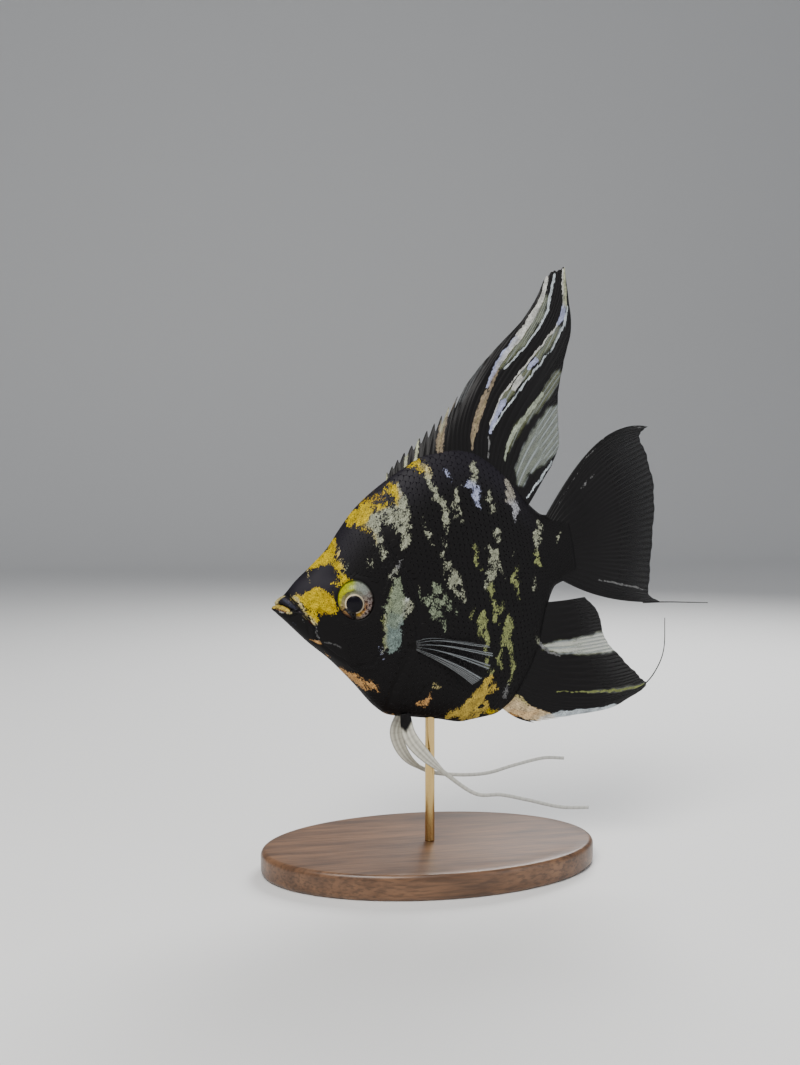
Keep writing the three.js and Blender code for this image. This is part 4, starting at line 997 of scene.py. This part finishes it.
def strip_piece(name, path, stations, sides, width, depth, tone):
    """A tapering strip swept along a path: half sizes width(t, a) in the fin's plane and depth(t, a) across it."""
    t = np.linspace(0, 1, stations)
    centre = spline(path, t)
    tangent = np.gradient(centre, axis=0)
    tangent /= np.linalg.norm(tangent, axis=1, keepdims=True)
    across = np.cross([0, 1, 0], tangent)
    across /= np.linalg.norm(across, axis=1, keepdims=True)
    outwards = np.cross(tangent, across)
    tt, a = np.meshgrid(t, np.linspace(0, 2 * math.pi, sides, endpoint=False), indexing="ij")
    ring = (
        centre[:, None] + across[:, None] * (width(tt, a) * np.cos(a))[..., None]
        + outwards[:, None] * (depth(tt, a) * np.sin(a))[..., None]
    )
    points = np.concatenate([ring.reshape(-1, 3), ring[:1].mean(1), ring[-1:].mean(1)])
    faces = tube_faces(stations, sides)
    first = points[faces[sides * 3]]
    outward = np.cross(first[1] - first[0], first[2] - first[0]) @ (first[0] - centre[3])
    if outward < 0:
        faces = faces[:, ::-1]
    piece = mesh_object(name, to_row(*points.T), faces)
    colours = tone(tt, a)
    colours = np.concatenate([colours.reshape(-1, 3), colours[0].mean(0)[None], colours[-1].mean(0)[None]])
    reach = np.concatenate([tt.ravel(), [0, 1]])
    rays = ray_lines(4 * np.cos(np.concatenate([a.ravel(), [0, 0]])), reach)
    store_web(piece, stack4(colours, 0.97 + 0 * reach), stack4(colours, 0 * reach), rays)
    return piece


def make_pelvic(name, side, fin):
    """A pelvic fin: rays side by side in a narrow blade that draws out into one long thread.

    The half width is the thread's plus a half wave over the first third, and the blade is grooved between rays.
    """
    def blade(t):
        """A half wave over the first third."""
        return np.maximum(np.sin(np.minimum(t / 0.3, 1) * math.pi), 0)

    def width(t, a):
        """The thread's half width, the blade's wave and a short thick root."""
        return 0.5 + fin["broad"] * blade(t) + 0.8 * (1 - t) ** 6 - 0.08 * t

    def grooves(a):
        """1 on each of the rays that lie side by side and 0 between them."""
        return np.abs(np.cos(1.5 * math.pi * np.cos(a))) ** 2

    def depth(t, a):
        """Half the thickness, cut by the grooves where the blade is broad."""
        return (0.2 + 0.3 * (1 - t) ** 4) * (1 - 0.42 * (1 - grooves(a)) * ease(0.5, 0.2, t)) + 0.06 * (1 - t)

    def tone(t, a):
        """Cream that pales to white, darker in the grooves, finely banded, with a black wedge at the left root."""
        along = ease(0.08, 0.6, t)[..., None]
        pale = np.array(CREAM) * (1 - along) * 0.35 + np.array(WHITE) * (1.15 - 0.1 * along)
        lined = pale * (1 - 0.5 * ((1 - grooves(a)) * ease(0.5, 0.3, t))[..., None])
        banded = lined * (1 - 0.12 * (np.sin(t * 260 + 2 * np.sin(t * 31)) > 0.6))[..., None]
        wedge = fin["black_root"] * (1.15 - 0.5 * np.abs(np.cos(a) - 0.3))
        dark = ease(wedge + 0.01, wedge - 0.01, t)[..., None] if fin["black_root"] else 0
        return banded * (1 - dark) + np.array(BLACK) * dark

    path = [(x, side * y, z) for x, y, z in fin["path"]]
    return strip_piece(name, path, 260, 24, width, depth, tone)


def make_thread(name, path):
    """The drawn-out end of a middle fin's outermost ray."""
    def half(t, _):
        """Half its thickness, halved by the tip."""
        return 0.2 - 0.1 * t

    def tone(t, _):
        """Near black."""
        return np.full(t.shape + (3,), 0.012)

    return strip_piece(name, path, 90, 10, half, half, tone)


# ---------------------------------------------------------------- eyes
IRIS = [  # direction in degrees, 0 towards the tail and 90 up; colour by the pupil's ring; colour at the rim
    (-180, (0.26, 0.20, 0.08), (0.28, 0.24, 0.03)),
    (-160, (0.27, 0.17, 0.05), (0.18, 0.10, 0.02)),
    (-140, (0.24, 0.12, 0.035), (0.07, 0.03, 0.012)),
    (-120, (0.14, 0.06, 0.02), (0.02, 0.012, 0.01)),
    (-100, (0.03, 0.02, 0.015), (0.05, 0.045, 0.04)),
    (-78, (0.40, 0.23, 0.015), (0.24, 0.19, 0.15)),
    (-60, (0.38, 0.20, 0.03), (0.30, 0.25, 0.22)),
    (-35, (0.24, 0.11, 0.035), (0.25, 0.19, 0.16)),
    (-10, (0.20, 0.11, 0.06), (0.22, 0.165, 0.15)),
    (15, (0.18, 0.15, 0.12), (0.18, 0.165, 0.15)),
    (45, (0.13, 0.13, 0.105), (0.18, 0.20, 0.175)),
    (72, (0.10, 0.105, 0.07), (0.175, 0.195, 0.145)),
    (88, (0.08, 0.085, 0.03), (0.24, 0.28, 0.01)),
    (125, (0.11, 0.10, 0.035), (0.31, 0.31, 0.0)),
    (155, (0.18, 0.155, 0.07), (0.30, 0.29, 0.005)),
    (180, (0.26, 0.20, 0.08), (0.28, 0.24, 0.03)),
]
PUPIL = (-0.3, -0.65, 2.02)  # across, up and radius, from the middle of the ball


def make_eye(name, side):
    """An eyeball: black pupil with its lens standing out, a thin gold ring, a mottled iris with a dark bar below, and
    a painted socket shadow round its edge.

    It is a flattened oval ball about an axis that points outwards, its rings packed towards that pole. The lens
    adds a low dome over the pupil, with a fine ridge and a groove round it.
    """
    rings, steps = 150, 200
    t, a = np.meshgrid(np.linspace(0, 1, rings), np.linspace(0, 2 * math.pi, steps, endpoint=False), indexing="ij")
    polar = math.pi * (0.62 * t + 0.38 * t**3)
    r = EYE_RADIUS * np.sin(polar)
    out = EYE["depth"] * np.cos(polar)
    front = polar < math.pi / 2
    p, q = EYE_OVAL[0] * r * np.cos(a), EYE_OVAL[1] * r * np.sin(a)
    pr = np.hypot(p - PUPIL[0], (q - PUPIL[1]) * 0.97)
    lens = 0.3 * np.sqrt(np.clip(1 - (pr / PUPIL[2]) ** 2, 0, 1))
    out = out + np.where(front, lens + 0.06 * bump(pr - 2.2, 0.14) - 0.14 * bump(pr - 2.75, 0.35), 0)
    turn = EYE["turn"]
    x = p * math.cos(turn) - out * math.sin(turn)
    y = out * math.cos(turn) + p * math.sin(turn)
    middle = float(flank_half(EYE["x"], EYE["z"])) - EYE["depth"] + EYE["stand"]
    points = np.stack([EYE["x"] + x, side * (middle + y), EYE["z"] + q], -1).reshape(-1, 3)
    faces = grid_faces(rings, steps, closed=True)
    if side > 0:
        faces = faces[:, ::-1]
    direction = np.degrees(np.arctan2(q - PUPIL[1], p - PUPIL[0]))
    share = ease(2.9, 3.5, pr + 0.15 * wander(p, q, 1.6, 13))[..., None]
    near, rim = (
        np.stack([smooth([(row[0], row[k][c]) for row in IRIS], direction) for c in range(3)], -1) for k in (1, 2)
    )
    iris = near * (1 - share) + rim * share
    spots = wander(p, q, 1.15, 11) + 0.7 * wander(p, q, 0.6, 12)
    rough_side = np.clip(1.2 * bump((direction + 25) / 60, 1.0) + bump((direction + 150) / 45, 1.0), 0.1, 1)
    blotch = (rough_side * ease(-0.05, 0.25, spots))[..., None]
    iris = (iris * (1 - blotch) + np.array([0.022, 0.008, 0.004]) * blotch) * (1.05 + 0.24 * spots)[..., None]
    ring = np.array([0.50, 0.42, 0.28]) * (0.9 + 0.3 * np.sin(np.radians(direction - 60)))[..., None]
    gold = (ease(PUPIL[2] - 0.08, PUPIL[2] + 0.04, pr) * ease(2.38, 2.26, pr))[..., None]
    colour = iris * (1 - gold) + ring * gold
    flecks = ease(0.5, 0.8, wander(p, q, 0.7, 14)) * 0.12
    drop = q + 2.6
    bar = ease(0.18, -0.18, np.abs(p + 1.3 + 0.19 * drop) - 1.05 - 0.37 * drop) * (q < -1.3) * ease(4.5, 4.1, r)
    colour = colour * (1 - 0.97 * bar[..., None]) + np.array(LILAC) * (bar * flecks)[..., None]
    pupil = ease(PUPIL[2] + 0.02, PUPIL[2] - 0.08, pr)[..., None]
    colour = colour * (1 - pupil) + np.array([0.002, 0.0015, 0.004]) * pupil
    # painted shadow of the socket: the ball darkens towards its edge
    colour = colour * (1 - 0.85 * ease(4.15, 4.5, r)[..., None])
    colour = np.where(front[..., None], np.clip(colour, 0, 1), 0.01)
    piece = mesh_object(name, to_row(*points.T), faces)
    set_colours(piece, "marks", stack4(colour, 1 + 0 * r))
    return piece


# ---------------------------------------------------------------- stand
def lathe_piece(name, profile, steps, stretch=(1.0, 1.0)):
    """A closed solid of revolution about the row's Z axis from [radius, z] stations, stretched in x and y."""
    profile = np.array(profile, float)
    a = np.linspace(0, 2 * math.pi, steps, endpoint=False)
    r, z = profile[:, :1], profile[:, 1:]
    points = np.stack([r * np.cos(a) * stretch[0], r * np.sin(a) * stretch[1], z + 0 * a], -1).reshape(-1, 3)
    ends = np.array([[0, 0, profile[0, 1]], [0, 0, profile[-1, 1]]])
    return mesh_object(name, np.concatenate([points, ends]) * MM, tube_faces(len(profile), steps))


def make_base():
    """The oval wooden base with its edges rounded over."""
    half, bevel, height = BASE["length"] / 2, BASE["bevel"], BASE["height"]
    turns = np.linspace(0, math.pi / 2, 7)
    lower = [(half - bevel + bevel * math.sin(t), bevel - bevel * math.cos(t)) for t in turns]
    upper = [(half - bevel + bevel * math.cos(t), height - bevel + bevel * math.sin(t)) for t in turns]
    inner = [(half * k, height) for k in (0.9, 0.6, 0.3)]
    under = [(half * k, 0) for k in (0.3, 0.6, 0.9)]
    return lathe_piece("stand_base", under + lower + upper + inner, 180, (1.0, BASE["width"] / BASE["length"]))


def make_rod():
    """The straight rod from the base into the belly, with a row of faces near each end to keep its edge crisp."""
    r, low, high, edge = ROD["radius"], ROD["bottom"], ROD["top"], 0.4
    return lathe_piece("stand_rod", [(r, low), (r, low + edge), (r, high - edge), (r, high)], 48)


# ---------------------------------------------------------------- materials
def new_material(name):
    """A material with its node tree and shader."""
    material = bpy.data.materials.new(name)
    material.use_nodes = True
    tree = material.node_tree
    return material, tree, tree.nodes["Principled BSDF"]


def feed(tree, socket, value):
    """Links the value to the socket if it is an output, or else stores it there."""
    if isinstance(value, bpy.types.NodeSocket):
        tree.links.new(value, socket)
    else:
        socket.default_value = value


def plug(tree, node, **inputs):
    """Feeds a node's inputs by name, a space in a name written as an underscore."""
    for key, value in inputs.items():
        feed(tree, node.inputs[key.replace("_", " ")], value)
    return node


def add(tree, kind, **inputs):
    """A new node with its inputs fed."""
    return plug(tree, tree.nodes.new(kind), **inputs)


def noise_value(tree, scale, detail=3.0, rough=0.6, stretch=None, place=None):
    """Noise, by default in the model's own space: scale is features per metre, times stretch along each axis."""
    if place is None:
        place = tree.nodes.new("ShaderNodeTexCoord").outputs["Object"]
    if stretch:
        place = add(tree, "ShaderNodeMapping", Vector=place, Scale=stretch).outputs["Vector"]
    return add(tree, "ShaderNodeTexNoise", Vector=place, Scale=scale, Detail=detail, Roughness=rough).outputs["Fac"]


def remap(tree, value, low, high, to_low=0.0, to_high=1.0):
    """The value carried in a straight line from low..high to to_low..to_high, and held at the ends."""
    bounds = dict(From_Min=low, From_Max=high, To_Min=to_low, To_Max=to_high)
    return add(tree, "ShaderNodeMapRange", Value=value, **bounds).outputs["Result"]


def arithmetic(tree, operation, a, b):
    """The sum, product or other result of two numbers or outputs."""
    node = tree.nodes.new("ShaderNodeMath")
    node.operation = operation
    for socket, value in zip(node.inputs, (a, b)):
        feed(tree, socket, value)
    return node.outputs[0]


def mixed(tree, factor, a, b):
    """Colour a where factor is 0 and b where it is 1."""
    node = tree.nodes.new("ShaderNodeMix")
    node.data_type = "RGBA"
    tree.links.new(factor, node.inputs["Factor"])
    for key, value in (("A", a), ("B", b)):
        feed(tree, node.inputs[key], value if isinstance(value, bpy.types.NodeSocket) else (*value, 1))
    return node.outputs["Result"]


def attribute(tree, name):
    """The colours stored with the mesh under a name."""
    node = tree.nodes.new("ShaderNodeAttribute")
    node.attribute_name = name
    return node


def bump_node(tree, height, strength, distance):
    """A fine roughness of the surface, distance metres deep."""
    return add(tree, "ShaderNodeBump", Height=height, Strength=strength, Distance=distance).outputs["Normal"]


def scaled(tree, colour, factor):
    """The colour times a number."""
    node = add(tree, "ShaderNodeVectorMath", Vector=colour)
    node.operation = "SCALE"
    tree.links.new(factor, node.inputs["Scale"])
    return node.outputs["Vector"]


def shown_marks(tree, fullness, fine, coarse):
    """1 where a mark's fullness beats a grainy threshold, so that its edge breaks up into specks."""
    grains = (arithmetic(tree, "MULTIPLY", grain, share) for grain, share in ((fine, 0.72), (coarse, 0.26)))
    threshold = arithmetic(tree, "ADD", *grains)
    return remap(tree, arithmetic(tree, "SUBTRACT", fullness, threshold), -0.02, 0.1)


def skin_material():
    """Velvet black with granular marks."""
    material, tree, shader = new_material("marble_skin")
    marks = attribute(tree, "marks")
    # the ground holds the black skin with its painted sheen
    ground = attribute(tree, "ground")
    fine = remap(tree, noise_value(tree, 1.0, 2.0, 0.6, (3300, 3300, 1900)), 0.37, 0.63)
    coarse = remap(tree, noise_value(tree, 1.0, 2.0, 0.5, (1300, 1300, 700)), 0.37, 0.63)
    shown = shown_marks(tree, marks.outputs["Alpha"], fine, coarse)
    specks = remap(tree, noise_value(tree, 4200, 3.0, 0.7), 0.38, 0.6, 0.4, 1.25)
    tone = mixed(tree, shown, ground.outputs["Color"], scaled(tree, marks.outputs["Color"], specks))
    plug(
        tree, shader, Base_Color=tone, Roughness=remap(tree, shown, 0, 1, 0.48, 0.52), Specular_IOR_Level=0.1,
        Normal=bump_node(tree, noise_value(tree, 2600, 3.0), 0.2, 0.00003),
    )
    return material


def fin_material():
    """Fin web: own colour and opacity come with the mesh, and its marks break up into streaks along the rays."""
    material, tree, shader = new_material("fin_web")
    marks, ground, rays = (attribute(tree, name) for name in ("marks", "ground", "rays"))
    streaks = noise_value(tree, 1.0, 3.0, 0.65, (2.6, 26, 1), rays.outputs["Vector"])
    fine = remap(tree, streaks, 0.36, 0.64)
    coarse = remap(tree, noise_value(tree, 1500, 3.0, 0.7), 0.36, 0.64)
    shown = shown_marks(tree, marks.outputs["Alpha"], fine, coarse)
    specks = remap(tree, noise_value(tree, 3000, 3.0, 0.7), 0.36, 0.62, 0.6, 1.12)
    tone = mixed(tree, shown, ground.outputs["Color"], scaled(tree, marks.outputs["Color"], specks))
    opacity = arithmetic(tree, "MAXIMUM", ground.outputs["Alpha"], arithmetic(tree, "MULTIPLY", shown, 0.95))
    plug(tree, shader, Base_Color=tone, Alpha=opacity, Roughness=0.42, Specular_IOR_Level=0.12)
    return material


def eye_material():
    """Painted iris and pupil under a clear gloss."""
    material, tree, shader = new_material("eyeball")
    grain = remap(tree, noise_value(tree, 4200, 4.0, 0.7), 0.34, 0.66, 0.6, 1.2)
    painted_iris = scaled(tree, attribute(tree, "marks").outputs["Color"], grain)
    plug(tree, shader, Base_Color=painted_iris, Roughness=0.35, Specular_IOR_Level=0.12)
    plug(tree, shader, Coat_Weight=0.08, Coat_Roughness=0.04)
    return material


def wood_material():
    """Oiled walnut: long grain along the base with fine dark pores."""
    material, tree, shader = new_material("walnut")
    grain = remap(tree, noise_value(tree, 2.2, 5.0, 0.6, (14, 130, 90)), 0.3, 0.7)
    pores = noise_value(tree, 1.0, 3.0, 0.5, (90, 1700, 1700))
    wood = mixed(tree, grain, (0.065, 0.030, 0.014), (0.19, 0.095, 0.045))
    dark = remap(tree, pores, 0.35, 0.55, 0.55, 1.0)
    pitted = bump_node(tree, pores, 0.2, 0.0001)
    plug(tree, shader, Base_Color=scaled(tree, wood, dark), Roughness=0.36, Normal=pitted)
    return material


def brass_material():
    """Polished brass."""
    material, tree, shader = new_material("brass")
    plug(tree, shader, Base_Color=(0.62, 0.43, 0.17, 1), Metallic=1.0, Roughness=0.24)
    return material


def floor_material():
    """The floor's plain pale paint."""
    material, tree, shader = new_material("floor")
    plug(tree, shader, Base_Color=(0.72, 0.72, 0.71, 1), Roughness=0.7)
    return material


# ---------------------------------------------------------------- the model
skin = skin_material()
web = fin_material()
finish_piece(
    make_skin(), skin, "black_skin",
    "head", "upper_jaw", "lower_jaw", "gill_cover_left", "gill_cover_right", "trunk", "tail_stem",
)
for side, sign in SIDES:
    finish_piece(make_scales(f"scales_{side}", sign), skin, "black_skin")
for name, fin in FINS.items():
    finish_piece(make_middle_fin(name + "_web", fin), web, "black_fin", name)
for name, path in THREADS.items():
    finish_piece(make_thread(name, path), web, "black_fin")
eyeball = eye_material()
for side, sign in SIDES:
    eye, pectoral, pelvic = f"eye_{side}", f"pectoral_fin_{side}", f"pelvic_fin_{side}"
    finish_piece(make_eye(eye, sign), eyeball, "eye", eye)
    finish_piece(make_pectoral(pectoral, sign), web, "clear_fin", pectoral)
    finish_piece(make_pelvic(pelvic, sign, PELVIC[side]), web, "pale_thread", pelvic)
finish_piece(make_base(), wood_material(), "walnut", "stand_base")
finish_piece(make_rod(), brass_material(), "brass", "stand_rod")


# ---------------------------------------------------------------- studio, metres
MIDDLE = (0.0, 0.0, 0.075)


def make_floor():
    """A pale floor that curves up into a backdrop behind the model."""
    radius, front, depth, width, rise = 0.35, -1.5, 1.1, 2.4, 1.6
    turns = np.linspace(0, math.pi / 2, 24)
    curve = [(depth + radius * math.sin(t), radius - radius * math.cos(t)) for t in turns]
    line = [(front, 0.0), *curve, (depth + radius, rise)]
    points = np.array([[x, y, z] for x in (-width, width) for y, z in line])
    count = len(line)
    i = np.arange(count - 1)
    return mesh_object("floor", points, np.stack([i, i + count, i + count + 1, i + 1], -1))


def area_light(name, place, size, watts, colour):
    """A square soft light at place that faces the middle of the model."""
    light = bpy.data.lights.new(name, "AREA")
    light.energy, light.size, light.color = watts, size, colour
    lamp = new_object(name, light)
    lamp.location = place
    toward = np.array(MIDDLE) - np.array(place)
    lamp.rotation_euler = (
        math.acos(-toward[2] / np.linalg.norm(toward)), 0, math.atan2(toward[1], toward[0]) - math.pi / 2,
    )


floor = make_floor()
floor.data.materials.append(floor_material())

area_light("key", (-0.22, -0.36, 0.55), 0.3, 5.4, (1.0, 0.98, 0.95))
area_light("fill", (0.5, -0.5, 0.25), 0.5, 1.3, (0.95, 0.97, 1.0))
area_light("rim", (0.25, 0.4, 0.45), 0.3, 4.0, (1.0, 1.0, 1.0))
world = bpy.data.worlds.new("studio")
world.use_nodes = True
plug(world.node_tree, world.node_tree.nodes["Background"], Color=(0.9, 0.93, 1.0, 1), Strength=0.36)
bpy.context.scene.world = world

# the camera is level with the fish and looks at its left side, a little from the snout's end
camera = bpy.data.cameras.new("camera")
camera.lens, camera.sensor_width, camera.clip_start = 37.0, 36.0, 0.01
viewer = new_object("camera", camera)
viewer.location = (-0.058988, -0.264464, 0.092484)
viewer.rotation_euler = (math.radians(88), 0, math.radians(-11))
bpy.context.scene.camera = viewer
